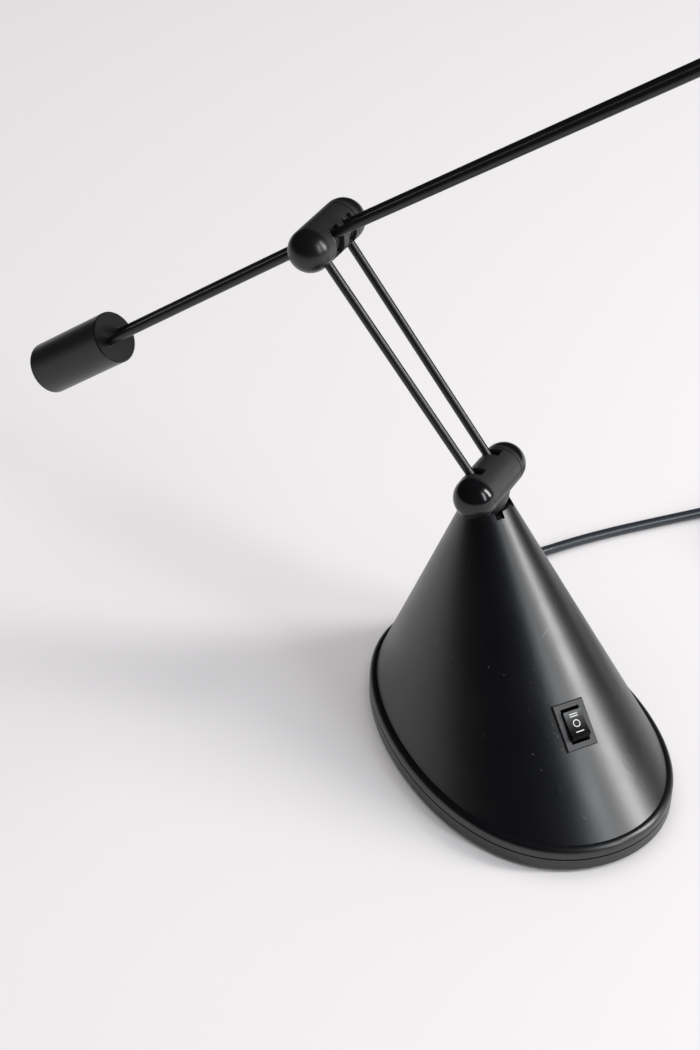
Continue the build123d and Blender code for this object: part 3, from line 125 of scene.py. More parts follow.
turn_cos, turn_sin = math.cos(exit_turn), math.sin(exit_turn)
exit_forward = outline_middle + outline_half_length * turn_cos * (1 + outline_fullness * turn_sin**2)
exit_side = outline_half_width * turn_sin * (1 + outline_fullness * turn_cos**2)
exit_side *= 1 + front_broadening * turn_cos
exit_point = ahead(exit_forward, exit_side, exit_height)
exit_way = ahead(turn_cos / outline_half_length, turn_sin / outline_half_width, 0).normalized()
boot_end = exit_point + exit_way * boot_length * MM
print("the cord leaves the boot at", boot_end)

# %% The free stretch
straight_start = 11
cord_points = [
    boot_end,
    boot_end + exit_way * straight_start * MM,
    Vector((-0.0246, 0.0915, 0.0048)),
    Vector((-0.0170, 0.1068, 0.0027)),
    Vector((-0.0042, 0.1259, 0.0025)),
    Vector((0.0104, 0.1442, 0.0025)),
    Vector((0.0290, 0.1652, 0.0026)),
    Vector((0.0503, 0.1879, 0.0034)),
    Vector((0.0702, 0.2106, 0.0034)),
]
print(len(cord_points), "points up to the coil")

# %% [markdown]
# ### The coil
# A coil that is wound by hand goes inwards for four turns and comes out again on top of them. Its radius
# therefore falls and grows by one pitch a turn, with a soft change at the middle, where the cord also climbs
# by a pitch to the upper layer. The first point lies straight ahead of the free stretch, so the two run on
# without a kink.

# %% The coil's measures
coil_pitch = 5.6 * MM
turns_inwards = 4.0
turns_in_all = 8.25
middle_radius = 30 * MM
coil_inner = middle_radius - turns_inwards * coil_pitch / 2
coil_start_radius = coil_inner + turns_inwards * coil_pitch
coil_level = 3.4 * MM
run_past = 5 * MM
arrival_way = (cord_points[-1] - cord_points[-2]).normalized()
spiral_lean = math.atan(coil_pitch / (2 * math.pi * coil_start_radius))
coil_start_angle = math.atan2(arrival_way.y, arrival_way.x) + math.pi / 2 + spiral_lean
coil_start = cord_points[-1] + arrival_way * run_past
coil_centre = coil_start - coil_start_radius * Vector(
    (math.cos(coil_start_angle), math.sin(coil_start_angle), 0)
)
print("coil centre", coil_centre)

# %% A point on the coil
change_turns = 0.25


def coil_point(turns, swell=1.0):
    """A point on the coil: one layer winds in, and the next winds out on top of it."""
    off = abs(turns - turns_inwards)
    if off < change_turns:
        off = (off * off + change_turns**2) / (2 * change_turns)
    radius = (coil_inner + coil_pitch * off) * swell
    climb = (turns - (turns_inwards - change_turns)) / (2 * change_turns)
    climb = min(1.0, max(0.0, climb))
    height = coil_level + coil_pitch * climb * climb * (3 - 2 * climb)
    angle = coil_start_angle - 2 * math.pi * turns
    return Vector(
        (coil_centre.x + radius * math.cos(angle), coil_centre.y + radius * math.sin(angle), height)
    )


# %% [markdown]
# This kind of curve runs a little inside its points. A point every twelfth of a turn is close enough for that
# to be one small factor, which the points stand out by.

# %% The coil's turns
points_a_turn = 12
point_count = 100
small_turn = 0.0005
swell = 1 / math.cos(math.pi / points_a_turn)
for step in range(point_count):
    cord_points.append(coil_point((step + 0.5) / points_a_turn, swell))
coil_way = (coil_point(turns_in_all + small_turn) - coil_point(turns_in_all - small_turn)).normalized()
coil_end = coil_point(turns_in_all) + coil_way * run_past
print("the coil ends at", coil_end)

# %% The tail to the plug
plug_height = 7.2 * MM
tail_way = Vector((coil_way.x, coil_way.y, 0)).normalized()
tail_side = Vector((tail_way.y, -tail_way.x, 0))
tail_drop = Vector((0, 0, plug_height - coil_end.z))
# along the tail and aside from it in millimetres, and how much of the drop is done
for along, aside, dropped in ((0, 0, 0), (9, 0, 0), (21, 1.6, 1), (30, 4.2, 1)):
    cord_points.append(coil_end + tail_way * along * MM + tail_side * aside * MM + tail_drop * dropped)
plug_foot = cord_points[-1]
plug_way = (cord_points[-1] - cord_points[-2]).normalized()
print("the plug starts at", plug_foot)

# %% [markdown]
# ### The curve
# A NURBS curve of order 3 turns the points into one smooth line, and its bevel gives it a round section. Each
# point carries the cord's own radius and the bevel is one, because Blender counts a point's radius when it
# measures the curve's box.

# %% The cord's curve
cord_radius = 2.5 * MM
cord_curve = bpy.data.curves.new("mains_cord_run", "CURVE")
cord_curve.dimensions = "3D"
cord_spline = cord_curve.splines.new("NURBS")
cord_spline.points.add(len(cord_points) - 1)
for spot, place in zip(cord_spline.points, cord_points):
    spot.co = (*place, 1.0)
    spot.radius = cord_radius
cord_spline.order_u = 3
cord_spline.use_endpoint_u = True
cord_spline.resolution_u = 6
cord_curve.bevel_depth = 1.0
cord_curve.bevel_resolution = 4
cord_curve.use_fill_caps = True
cord = bpy.data.objects.new("mains_cord_run", cord_curve)
bpy.context.scene.collection.objects.link(cord)
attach(cord, "base")
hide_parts("mains_cord", "cord_coil", "cord_tail")
print("cord points", len(cord_points))

# %% [markdown]
# ## Finishes
# Everything that shows is black, so what tells the pieces apart is how they shine. The shell is a satin
# moulding with fine scratches and dust, the joints are a slightly duller moulding, the rods and the weight
# are enamelled steel, the switch is glossier, and the cord has a soft sheen. Two effects turn up in most
# of them, so each is a node group: a fine grain, and marks of use. The helpers below keep the node trees
# short: one makes a node with its settings and its sockets' values, and one links pairs of sockets.

# %% Helpers for node trees
# a Mix node holds sockets for every kind of value under one name, so they are taken by their place
COLOR_A, COLOR_B, COLOR_OUT = 6, 7, 2
NUMBER_A, NUMBER_B, NUMBER_OUT = 2, 3, 0


def add_node(tree, kind, values=None, **settings):
    """A shader node of a kind, with its own settings first and then values on its sockets."""
    node = tree.nodes.new("ShaderNode" + kind)
    for title, setting in settings.items():
        setattr(node, title, setting)
    for socket, value in (values or {}).items():
        node.inputs[socket].default_value = value
    return node


def link(tree, *pairs):
    """Link each pair of sockets, from an output to an input."""
    for source, target in pairs:
        tree.links.new(source, target)


def new_group(title, inputs, outputs):
    """A node group with its sockets, given as (title, kind, value), and the nodes at its two ends."""
    group = bpy.data.node_groups.new(title, "ShaderNodeTree")
    for name, kind, value in inputs:
        socket = group.interface.new_socket(name, in_out="INPUT", socket_type="NodeSocket" + kind)
        if value is not None:
            socket.default_value = value
    for name in outputs:
        group.interface.new_socket(name, in_out="OUTPUT", socket_type="NodeSocketFloat")
    return group, group.nodes.new("NodeGroupInput").outputs, group.nodes.new("NodeGroupOutput").inputs


print("helpers for node trees are ready")

# %% Helpers for materials
def new_material(title, color, roughness, metallic=0.0):
    """An empty node material with one Principled shader, and its colour, roughness and metal set."""
    material = bpy.data.materials.new(title)
    material.use_nodes = True
    shader = material.node_tree.nodes["Principled BSDF"]
    shader.inputs["Base Color"].default_value = (*color, 1.0)
    shader.inputs["Roughness"].default_value = roughness
    shader.inputs["Metallic"].default_value = metallic
    return material, shader


def dress(material, *names):
    """Give CAD nodes a material."""
    for name in names:
        item = nodes_of[name]
        item.data.materials.clear()
        item.data.materials.append(material)


print("helpers for materials are ready")

# %% [markdown]
# ### Grain
# No moulding or enamel is quite even. A coarse noise mottles the gloss, as fingers and cloths do, and a fine
# one is the texture that the mould or the paint leaves, for a bump.

# %% Grain group
grain_group, entry, leave = new_group(
    "fine_grain", (("Vector", "Vector", None), ("Fineness", "Float", 900.0)), ("Mottle", "Height")
)
coarse = add_node(grain_group, "TexNoise", {"Scale": 38.0, "Detail": 5.0})
fine = add_node(grain_group, "TexNoise", {"Detail": 3.0})
link(
    grain_group,
    (entry["Vector"], coarse.inputs["Vector"]),
    (entry["Vector"], fine.inputs["Vector"]),
    (entry["Fineness"], fine.inputs["Scale"]),
    (coarse.outputs["Fac"], leave["Mottle"]),
    (fine.outputs["Fac"], leave["Height"]),
)
print(grain_group.name, len(grain_group.nodes), "nodes")

# %% [markdown]
# ### Marks of use
# A scratch is noise stretched so far along one direction that only long thin lines pass a high threshold. Two
# families at different angles look like chance. Dust is the heart of a few cells of a Voronoi pattern, picked
# by their random colour.

# %% Wear group
wear_group, entry, leave = new_group(
    "marks_of_use", (("Vector", "Vector", None), ("Speck Scale", "Float", 260.0)), ("Scratches", "Dust")
)


def add_scratches(turn, seed):
    """One family of long thin lines, as a mask."""
    stretch = add_node(
        wear_group, "Mapping",
        {"Rotation": turn, "Location": (seed, seed, seed), "Scale": (1400.0, 22.0, 1400.0)},
    )
    noise = add_node(wear_group, "TexNoise", {"Scale": 1.0, "Detail": 1.0})
    band = add_node(wear_group, "MapRange", {"From Min": 0.80, "From Max": 0.86})
    link(
        wear_group,
        (entry["Vector"], stretch.inputs["Vector"]),
        (stretch.outputs["Vector"], noise.inputs["Vector"]),
        (noise.outputs["Fac"], band.inputs["Value"]),
    )
    return band.outputs["Result"]


both = add_node(wear_group, "Math", operation="MAXIMUM")
link(
    wear_group,
    (add_scratches((0.3, 0.9, 0.2), 0.0), both.inputs[0]),
    (add_scratches((1.1, -0.4, 0.9), 3.0), both.inputs[1]),
    (both.outputs["Value"], leave["Scratches"]),
)
print(wear_group.name, "has its scratches")

# %% Dust in the wear group
cells = add_node(wear_group, "TexVoronoi", {"Randomness": 1.0})
speck = add_node(wear_group, "MapRange", {"From Min": 0.10, "From Max": 0.06})
pick = add_node(wear_group, "SeparateColor")
few = add_node(wear_group, "Math", {1: 0.80}, operation="GREATER_THAN")
dust = add_node(wear_group, "Math", operation="MULTIPLY")
link(
    wear_group,
    (entry["Vector"], cells.inputs["Vector"]),
    (entry["Speck Scale"], cells.inputs["Scale"]),
    (cells.outputs["Distance"], speck.inputs["Value"]),
    (cells.outputs["Color"], pick.inputs["Color"]),
    (pick.outputs["Red"], few.inputs[0]),
    (speck.outputs["Result"], dust.inputs[0]),
    (few.outputs["Value"], dust.inputs[1]),
    (dust.outputs["Value"], leave["Dust"]),
)
print(wear_group.name, len(wear_group.nodes), "nodes")

# %% [markdown]
# ### A worn finish
# One helper makes every opaque finish from the two groups. The grain moves the roughness up and down by the
# spread, the scratches show a paler shade of the colour, the dust lies on top in grey, and the fine grain
# feeds a bump of a few hundredths of a millimetre.

# %% A worn finish
dust_grey = (0.30, 0.29, 0.28, 1.0)
grain_depth = 0.04 * MM


def worn_finish(title, color, roughness, fineness, bump, marks, spread=0.06, dust=0.25, metallic=0.0):
    """A plain finish with grain in its gloss, and scratches and dust on top."""
    material, shader = new_material(title, color, roughness, metallic)
    tree = material.node_tree
    paler = [min(1.0, channel * 2.2 + 0.02) for channel in color]
    coords = add_node(tree, "TexCoord").outputs["Object"]
    grain = add_node(tree, "Group", {"Fineness": fineness}, node_tree=grain_group)
    wear = add_node(tree, "Group", node_tree=wear_group)
    gloss = add_node(tree, "MapRange", {"To Min": roughness - spread, "To Max": roughness + spread})
    scratch_share = add_node(tree, "Math", {1: marks}, operation="MULTIPLY")
    scratched = add_node(tree, "Mix", {COLOR_A: (*color, 1.0), COLOR_B: (*paler, 1.0)}, data_type="RGBA")
    dust_share = add_node(tree, "Math", {1: dust}, operation="MULTIPLY")
    dusty = add_node(tree, "Mix", {COLOR_B: dust_grey}, data_type="RGBA")
    relief = add_node(tree, "Bump", {"Strength": bump, "Distance": grain_depth})
    link(
        tree,
        (coords, grain.inputs["Vector"]),
        (coords, wear.inputs["Vector"]),
        (grain.outputs["Mottle"], gloss.inputs["Value"]),
        (gloss.outputs["Result"], shader.inputs["Roughness"]),
        (wear.outputs["Scratches"], scratch_share.inputs[0]),
        (scratch_share.outputs["Value"], scratched.inputs[0]),
        (wear.outputs["Dust"], dust_share.inputs[0]),
        (dust_share.outputs["Value"], dusty.inputs[0]),
        (scratched.outputs[COLOR_OUT], dusty.inputs[COLOR_A]),
        (dusty.outputs[COLOR_OUT], shader.inputs["Base Color"]),
        (grain.outputs["Height"], relief.inputs["Height"]),
        (relief.outputs["Normal"], shader.inputs["Normal"]),
    )
    return material


# %% [markdown]
# ### The black finishes
# Each black has its own depth of colour, gloss, and size of grain. The rods are smooth enamel, the bezel is a
# greyer moulding than the rocker, and the cord's sheath is faintly blue.

# %% The black finishes
# colour, roughness, fineness of the grain, bump, scratches, spread of the gloss, dust
black_finishes = {
    "shell_satin": ((0.0030, 0.0034, 0.0046), 0.35, 1500.0, 0.30, 0.5, 0.06, 0.25),
    # the joints' colours are their lighter middles, a painted sheen for the room mirrored in their round
    # sides
    "joint_satin": ((0.0210, 0.0210, 0.0225), 0.40, 1800.0, 0.40, 0.8, 0.10, 0.25),
    "joint_painted_sheen": ((0.0240, 0.0240, 0.0255), 0.42, 1800.0, 0.45, 1.0, 0.12, 0.25),
    "rod_enamel": ((0.0070, 0.0070, 0.0076), 0.31, 300.0, 0.02, 0.2, 0.03, 0.05),
    "weight_enamel": ((0.0042, 0.0042, 0.0047), 0.31, 2600.0, 0.50, 0.3, 0.06, 0.25),
    "switch_gloss": ((0.0050, 0.0050, 0.0056), 0.24, 2200.0, 0.12, 0.2, 0.06, 0.10),
    "bezel_satin": ((0.0200, 0.0200, 0.0215), 0.36, 2200.0, 0.25, 0.2, 0.06, 0.20),
    "drum_black": ((0.0040, 0.0040, 0.0045), 0.50, 1800.0, 0.30, 0.2, 0.06, 0.10),
    "rubber_black": ((0.010, 0.010, 0.011), 0.55, 1500.0, 0.50, 0.1, 0.06, 0.25),
    "cord_sheath": ((0.022, 0.026, 0.034), 0.28, 900.0, 0.20, 0.2, 0.06, 0.20),
}
finish_of = {title: worn_finish(title, *values) for title, values in black_finishes.items()}
shell_shader = finish_of["shell_satin"].node_tree.nodes["Principled BSDF"]
shell_shader.inputs["Specular IOR Level"].default_value = 0.8
print(len(finish_of), "black finishes")

# %% [markdown]
# ### Joints with a painted sheen
# The middle of each joint is painted a lighter grey, a painted reflection of the bright room in its round
# side, and is duller; the round ends are darker and glossier. The arms swing in one plane, so the distance
# from that plane tells the ends from the middle.

# %% Glossy ends of the joints
ends_from = 12.6 * MM
ends_full = 15.2 * MM


def glossy_ends_sheen_middle(material, color, roughness):
    """Make a joint's round ends darker and glossier than its middle."""
    tree = material.node_tree
    shader = tree.nodes["Principled BSDF"].inputs
    coords = add_node(tree, "TexCoord")
    split = add_node(tree, "SeparateXYZ")
    off_middle = add_node(tree, "Math", operation="ABSOLUTE")
    zone = add_node(tree, "MapRange", {"From Min": ends_from, "From Max": ends_full})
    zone.interpolation_type = "SMOOTHSTEP"
    # the middle keeps its lighter colour, a painted sheen; the ends are mixed to their own darker colour
    tint = add_node(tree, "Mix", {COLOR_B: (*color, 1.0)}, data_type="RGBA")
    gloss = add_node(tree, "Mix", {NUMBER_B: roughness})
    link(
        tree,
        (coords.outputs["Object"], split.inputs["Vector"]),
        (split.outputs["Y"], off_middle.inputs[0]),
        (off_middle.outputs["Value"], zone.inputs["Value"]),
        (shader["Base Color"].links[0].from_socket, tint.inputs[COLOR_A]),
        (shader["Roughness"].links[0].from_socket, gloss.inputs[NUMBER_A]),
        (zone.outputs["Result"], tint.inputs[0]),
        (zone.outputs["Result"], gloss.inputs[0]),
        (tint.outputs[COLOR_OUT], shader["Base Color"]),
        (gloss.outputs[NUMBER_OUT], shader["Roughness"]),
    )


# in both joint finishes the lighter middle is a painted sheen
glossy_ends_sheen_middle(finish_of["joint_satin"], (0.0060, 0.0062, 0.0068), 0.30)
glossy_ends_sheen_middle(finish_of["joint_painted_sheen"], (0.0045, 0.0047, 0.0052), 0.17)
print("two joint finishes have glossy ends")

# %% [markdown]
# ### Metals and the inner pieces
# Brass rings carry the low voltage through the joints and glint in their slots, and one screw of the swivel
# plate shows through a notch. The rest is hidden in the base and the head, and is dressed as such pieces
# usually are: laminated steel, copper windings, cream nylon, white ceramic and a bright reflector.

# %% Metals and the inner pieces
# colour, roughness, fineness of the grain, bump, scratches
metal_finishes = {
    "plain_steel": ((0.55, 0.55, 0.56), 0.30, 900.0, 0.2, 0.3),
    "lamination_steel": ((0.20, 0.20, 0.21), 0.45, 600.0, 0.4, 0.3),
    "contact_brass": ((0.62, 0.52, 0.34), 0.28, 900.0, 0.2, 0.3),
    "winding_copper": ((0.52, 0.20, 0.08), 0.32, 700.0, 0.6, 0.2),
    "bright_reflector": ((0.84, 0.84, 0.85), 0.16, 500.0, 0.4, 0.1),
    "plated_pin": ((0.75, 0.75, 0.74), 0.18, 900.0, 0.1, 0.3),
}
pale_finishes = {
    "cream_nylon": ((0.72, 0.68, 0.56), 0.45, 900.0, 0.2, 0.2),
    "lead_sheath": ((0.16, 0.07, 0.04), 0.40, 900.0, 0.2, 0.1),
    "lamp_ceramic": ((0.80, 0.78, 0.72), 0.70, 900.0, 0.5, 0.1),
}
for title, values in metal_finishes.items():
    finish_of[title] = worn_finish(title, *values, metallic=1.0)
for title, values in pale_finishes.items():
    finish_of[title] = worn_finish(title, *values)
print(len(finish_of), "finishes in all")

# %% Glass
finish_of["clear_glass"], glass_shader = new_material("clear_glass", (0.94, 0.96, 0.96), 0.04)
glass_shader.inputs["Transmission Weight"].default_value = 1.0
glass_shader.inputs["IOR"].default_value = 1.46
glass_shader.inputs["Alpha"].default_value = 0.5
print("glass is ready")

# %% [markdown]
# ### Who wears what
# The CAD nodes keep their shapes and only change their material. The lower joint has the duller of the two
# joint finishes, with a lighter painted sheen in its middle and glossier ends.

# %% Dress the CAD nodes
worn_by = {
    "shell_satin": ("base_shell", "base_plate"),
    "joint_painted_sheen": ("neck_and_lower_sleeve", "lower_joint_cap"),
    "joint_satin": ("upper_joint_sleeve", "upper_joint_cap", "head_joint_sleeve", "head_joint_cap"),
    "rod_enamel": ("lower_rod_near", "lower_rod_far", "upper_rod_near", "upper_rod_far", "head_stem"),
    "weight_enamel": ("counterweight", "shade", "glass_ring"),
    "switch_gloss": ("switch_rocker",),
    "bezel_satin": ("switch_body",),
    "drum_black": ("lower_joint_drum", "upper_joint_drum", "head_joint_drum", "weight_bushes", "cord_tie"),
    "rubber_black": ("rubber_feet", "cord_boot", "mains_plug"),
    "plain_steel": (
        "plate_screws", "transformer_bracket", "bracket_screws", "swivel_plate", "swivel_screws",
        "swivel_washer", "swivel_nut", "lower_contact_springs", "upper_contact_springs",
        "head_contact_springs", "weight_grub_screw",
    ),
    "lamination_steel": ("transformer_core",),
    "contact_brass": (
        "switch_terminals", "terminal_screws", "lower_contact_rings", "upper_contact_rings",
        "head_contact_rings",
    ),
    "winding_copper": ("transformer_windings",),
    "cream_nylon": ("transformer_bobbin", "terminal_block", "swivel_bush"),
    "lead_sheath": ("mains_leads", "secondary_leads", "head_leads"),
    "lamp_ceramic": ("lamp_holder",),
    "bright_reflector": ("reflector",),
    "plated_pin": ("plug_pins",),
    "clear_glass": ("halogen_bulb", "cover_glass"),
}
for title, names in worn_by.items():
    dress(finish_of[title], *names)
cord.data.materials.append(finish_of["cord_sheath"])
print(sum(len(names) for names in worn_by.values()), "nodes dressed")

# %% [markdown]
# ## Small modelled pieces
# The marks on the rocker, the ribs of the boot and the plug, the rolled edge of the shade and the lamp's
# filament are too small for the CAD model. Each is shaped from Blender's primitives. The shape is baked into
# its mesh, so that every object stays at the origin and rides the body it belongs to.

# %% Helpers for new pieces
def bake(item, axes, origin):
    """Turn a new piece's own axes into three directions at a place, in the mesh itself."""
    turned = Matrix(axes).transposed().to_4x4()
    item.data.transform(Matrix.Translation(origin) @ turned @ item.matrix_basis)
    item.matrix_basis = Matrix.Identity(4)
    return item


def bar(size, rounding, axes, origin):
    """A box with softened edges, its sizes in millimetres along its own axes."""
    bpy.ops.mesh.primitive_cube_add(size=1.0)
    item = bpy.context.active_object
    item.data.transform(Matrix.Diagonal((size[0] * MM, size[1] * MM, size[2] * MM, 1.0)))
    bpy.ops.object.mode_set(mode="EDIT")
    bpy.ops.mesh.select_all(action="SELECT")
    bpy.ops.mesh.bevel(offset=rounding * MM, segments=2, affect="EDGES")
    bpy.ops.object.mode_set(mode="OBJECT")
    return bake(item, axes, origin)


def ring(radius, thickness, axes, origin, flat=1.0):
    """A round ring in the plane of its first two directions, pressed flat along the third."""
    bpy.ops.mesh.primitive_torus_add(
        major_radius=radius * MM, minor_radius=thickness * MM, major_segments=64, minor_segments=12
    )
    item = bpy.context.active_object
    item.data.transform(Matrix.Diagonal((1.0, 1.0, flat, 1.0)))
    bpy.ops.object.shade_smooth()
    return bake(item, axes, origin)


# %% A helper that joins them
def join(pieces, title, material, body):
    """Make one object of several, with one finish, that rides a body."""
    bpy.ops.object.select_all(action="DESELECT")
    for piece in pieces:
        piece.select_set(True)
    bpy.context.view_layer.objects.active = pieces[0]
    if len(pieces) > 1:
        bpy.ops.object.join()
    item = bpy.context.active_object
    item.name = title
    item.data.materials.clear()
    item.data.materials.append(material)
    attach(item, body)
    bpy.ops.object.select_all(action="DESELECT")
    print(title, len(item.data.polygons), "faces")
    return item


# %% [markdown]
# ### Where the switch is
# The switch sits low on the straight front of the cone. Its rocker turns about the joint in the frame, and is
# pressed in at its upper end. Its face is hollow, a shallow arc, so a mark on it has to follow that arc.

# %% Where the switch is
slope_foot = Vector((121.4, 0, 13.1))
slope_top = Vector((9.3, 0, 111.7))
down_slope = (slope_foot - slope_top).normalized()
switch_out = ahead(-down_slope.z, 0, down_slope.x).normalized()
switch_across = ahead(0, 1, 0).normalized()
up_switch = switch_out.cross(switch_across)
pivot_depth = 1.0 * MM
pivot = Vector(joint_of["switch_rock"]["pos_m"])
switch_middle = pivot + switch_out * pivot_depth
rocker_lean = math.radians(7.0)
rocker_up = up_switch * math.cos(rocker_lean) - switch_out * math.sin(rocker_lean)
rocker_out = switch_out * math.cos(rocker_lean) + up_switch * math.sin(rocker_lean)
rocker_axes = (switch_across, rocker_up, rocker_out)
print("rocker pivot", pivot)

# %% The rocker's hollow face
face_middle = 3.4
face_bow = 24.35


def on_face(up_mm):
    """A point on the middle line of the rocker's hollow face."""
    level = face_middle + face_bow - math.sqrt(face_bow**2 - up_mm**2)
    return pivot + rocker_up * up_mm * MM + rocker_out * level * MM


print("the face is lowest at", on_face(0.0))

# %% [markdown]
# ### Chips and scratches
# Years of use have chipped the edge of the switch's pocket and scratched the flank above and below it. These
# marks have their own places, so each is one copy of a small group: the distance to a short line, which is a
# dot where the line has no length.

# %% Mark group
mark_group, entry, leave = new_group(
    "short_mark",
    (
        ("Vector", "Vector", None),
        ("Place", "Vector", None),
        ("Way", "Vector", None),
        ("Half Length", "Float", None),
        ("Width", "Float", None),
    ),
    ("Mask",),
)
off = add_node(mark_group, "VectorMath", operation="SUBTRACT")
along = add_node(mark_group, "VectorMath", operation="DOT_PRODUCT")
low = add_node(mark_group, "Math", {1: -1.0}, operation="MULTIPLY")
within = add_node(mark_group, "Clamp")
nearest = add_node(mark_group, "VectorMath", operation="SCALE")
apart = add_node(mark_group, "VectorMath", operation="DISTANCE")
share = add_node(mark_group, "Math", operation="DIVIDE")
soft = add_node(mark_group, "MapRange", {"From Min": 1.0, "From Max": 0.5})
link(
    mark_group,
    (entry["Vector"], off.inputs[0]),
    (entry["Place"], off.inputs[1]),
    (off.outputs["Vector"], along.inputs[0]),
    (entry["Way"], along.inputs[1]),
    (entry["Half Length"], low.inputs[0]),
    (along.outputs["Value"], within.inputs["Value"]),
    (low.outputs["Value"], within.inputs["Min"]),
    (entry["Half Length"], within.inputs["Max"]),
    (entry["Way"], nearest.inputs[0]),
    (within.outputs["Result"], nearest.inputs["Scale"]),
    (off.outputs["Vector"], apart.inputs[0]),
    (nearest.outputs["Vector"], apart.inputs[1]),
    (apart.outputs["Value"], share.inputs[0]),
    (entry["Width"], share.inputs[1]),
    (share.outputs["Value"], soft.inputs["Value"]),
    (soft.outputs["Result"], leave["Mask"]),
)
print(mark_group.name, len(mark_group.nodes), "nodes")

# %% Lay marks over a finish
def add_marks(material, item, marks, color):
    """Lay short marks over a finish, each at the nearest point of the piece."""
    tree = material.node_tree
    base_color = tree.nodes["Principled BSDF"].inputs["Base Color"]
    coords = add_node(tree, "TexCoord").outputs["Object"]
    total = None
    for across_mm, up_mm, way_across, way_up, length, width in marks:
        near = switch_middle + switch_across * across_mm * MM + up_switch * up_mm * MM
        found, spot, normal, face = item.closest_point_on_mesh(item.matrix_world.inverted() @ near)
        way = (switch_across * way_across + up_switch * way_up).normalized()
        sizes = {"Place": spot, "Way": way, "Half Length": length / 2 * MM, "Width": width * MM}
        mark = add_node(tree, "Group", node_tree=mark_group)
        for title, value in sizes.items():
            mark.inputs[title].default_value = value
        link(tree, (coords, mark.inputs["Vector"]))
        mask = mark.outputs["Mask"]
        if total is not None:
            most = add_node(tree, "Math", operation="MAXIMUM")
            link(tree, (total, most.inputs[0]), (mask, most.inputs[1]))
            mask = most.outputs["Value"]
        total = mask
    marked = add_node(tree, "Mix", {COLOR_B: (*color, 1.0)}, data_type="RGBA")
    link(tree, (total, marked.inputs[0]), (base_color.links[0].from_socket, marked.inputs[COLOR_A]))
    link(tree, (marked.outputs[COLOR_OUT], base_color))
    print(len(marks), "marks on", item.name)


# %% Chips and scratches on the shell
# millimetres across the switch and up the slope from its middle, a direction, a length and a width
shell_marks = (
    (-9.6, 3.2, 0.0, 1.0, 0.0, 0.35),
    (-10.4, -0.6, 0.0, 1.0, 0.0, 0.28),
    (-9.3, -2.4, 0.3, 1.0, 0.8, 0.22),
    (-9.2, -8.2, 0.0, 1.0, 0.0, 0.40),
    (-13.2, -1.0, 0.0, 1.0, 0.0, 0.22),
    (-22.0, -13.5, 0.0, 1.0, 0.0, 0.30),
    (-33.5, 36.8, 0.0, 1.0, 0.0, 0.28),
    (1.8, 41.9, 0.82, 0.57, 5.5, 0.20),
    (-10.1, -39.0, -0.5, 0.8, 3.0, 0.16),
)
bare_plastic = (0.11, 0.095, 0.085)
add_marks(finish_of["shell_satin"], nodes_of["base_shell"], shell_marks, bare_plastic)

# %% [markdown]
# ### The rocker's marks
# Two bars at the end that gives full light, a ring in the middle for off, and one bar for half light. They
# are printed, so they are thin pieces of white that lie on the hollow face.

# %% The rocker's marks
white_print, _ = new_material("white_print", (0.66, 0.67, 0.66), 0.5)
bar_size = (3.9, 0.46, 0.10)
bar_places = (4.3, 3.3, -3.8)
ring_radius = 1.50
ring_thickness = 0.25
ring_raise = 0.05
marks = [bar(bar_size, 0.03, rocker_axes, on_face(place)) for place in bar_places]
ring_place = on_face(0.0) + rocker_out * ring_raise * MM
marks.append(ring(ring_radius, ring_thickness, rocker_axes, ring_place, flat=0.5))
join(marks, "switch_marks", white_print, "rocker")

# %% [markdown]
# ### Ribs and grips
# The boot is ribbed so that it bends evenly, and it gets thinner towards its end. The plug has five bars
# across each of its flat sides, so that fingers can pull it.

# %% Ribs of the cord boot
boot_collar = 1.0
boot_radius = 4.2
boot_taper = 1.1 / 17.0
rib_thickness = 0.45
rib_places = (4.0, 6.6, 9.2, 11.8, 14.4, 17.0)
boot_side = Vector((0, 0, 1)).cross(exit_way).normalized()
boot_axes = (boot_side, exit_way.cross(boot_side), exit_way)
ribs = []
for place in rib_places:
    radius = boot_radius - (place - boot_collar) * boot_taper
    ribs.append(ring(radius, rib_thickness, boot_axes, exit_point + exit_way * place * MM))
join(ribs, "boot_ribs", finish_of["rubber_black"], "base")

# %% Grip of the plug
grip_size = (15.0, 1.1, 0.6)
grip_places = (17.5, 20.0, 22.5, 25.0, 27.5)
plug_half_height = 7.2
lowest_grip = 0.35 * MM
plug_side = Vector((0, 0, 1)).cross(plug_way).normalized()
plug_axes = (plug_side, plug_way, Vector((0, 0, 1)))
grips = []
for place in grip_places:
    for level in (-plug_half_height, plug_half_height):
        spot = plug_foot + plug_way * place * MM + Vector((0, 0, level * MM))
        spot.z = max(spot.z, lowest_grip)
        grips.append(bar(grip_size, 0.2, plug_axes, spot))
join(grips, "plug_grip", finish_of["rubber_black"], "base")

# %% [markdown]
# ### The head's small pieces
# The shade ends in a rolled edge, which keeps thin sheet metal round and safe to hold. Inside the lamp's
# glass a coil of eight turns lies between two straight supports. Both are placed from the head's joint.

# %% Rolled edge of the shade
east, north, above = Vector((1, 0, 0)), Vector((0, 1, 0)), Vector((0, 0, 1))
head_joint = Vector(joint_of["head_tilt"]["pos_m"])
edge_radius = 35.5
edge_thickness = 0.7
edge_drop = 57.7
edge = ring(edge_radius, edge_thickness, (east, north, above), head_joint - above * edge_drop * MM)
join([edge], "shade_edge", finish_of["weight_enamel"], "head")

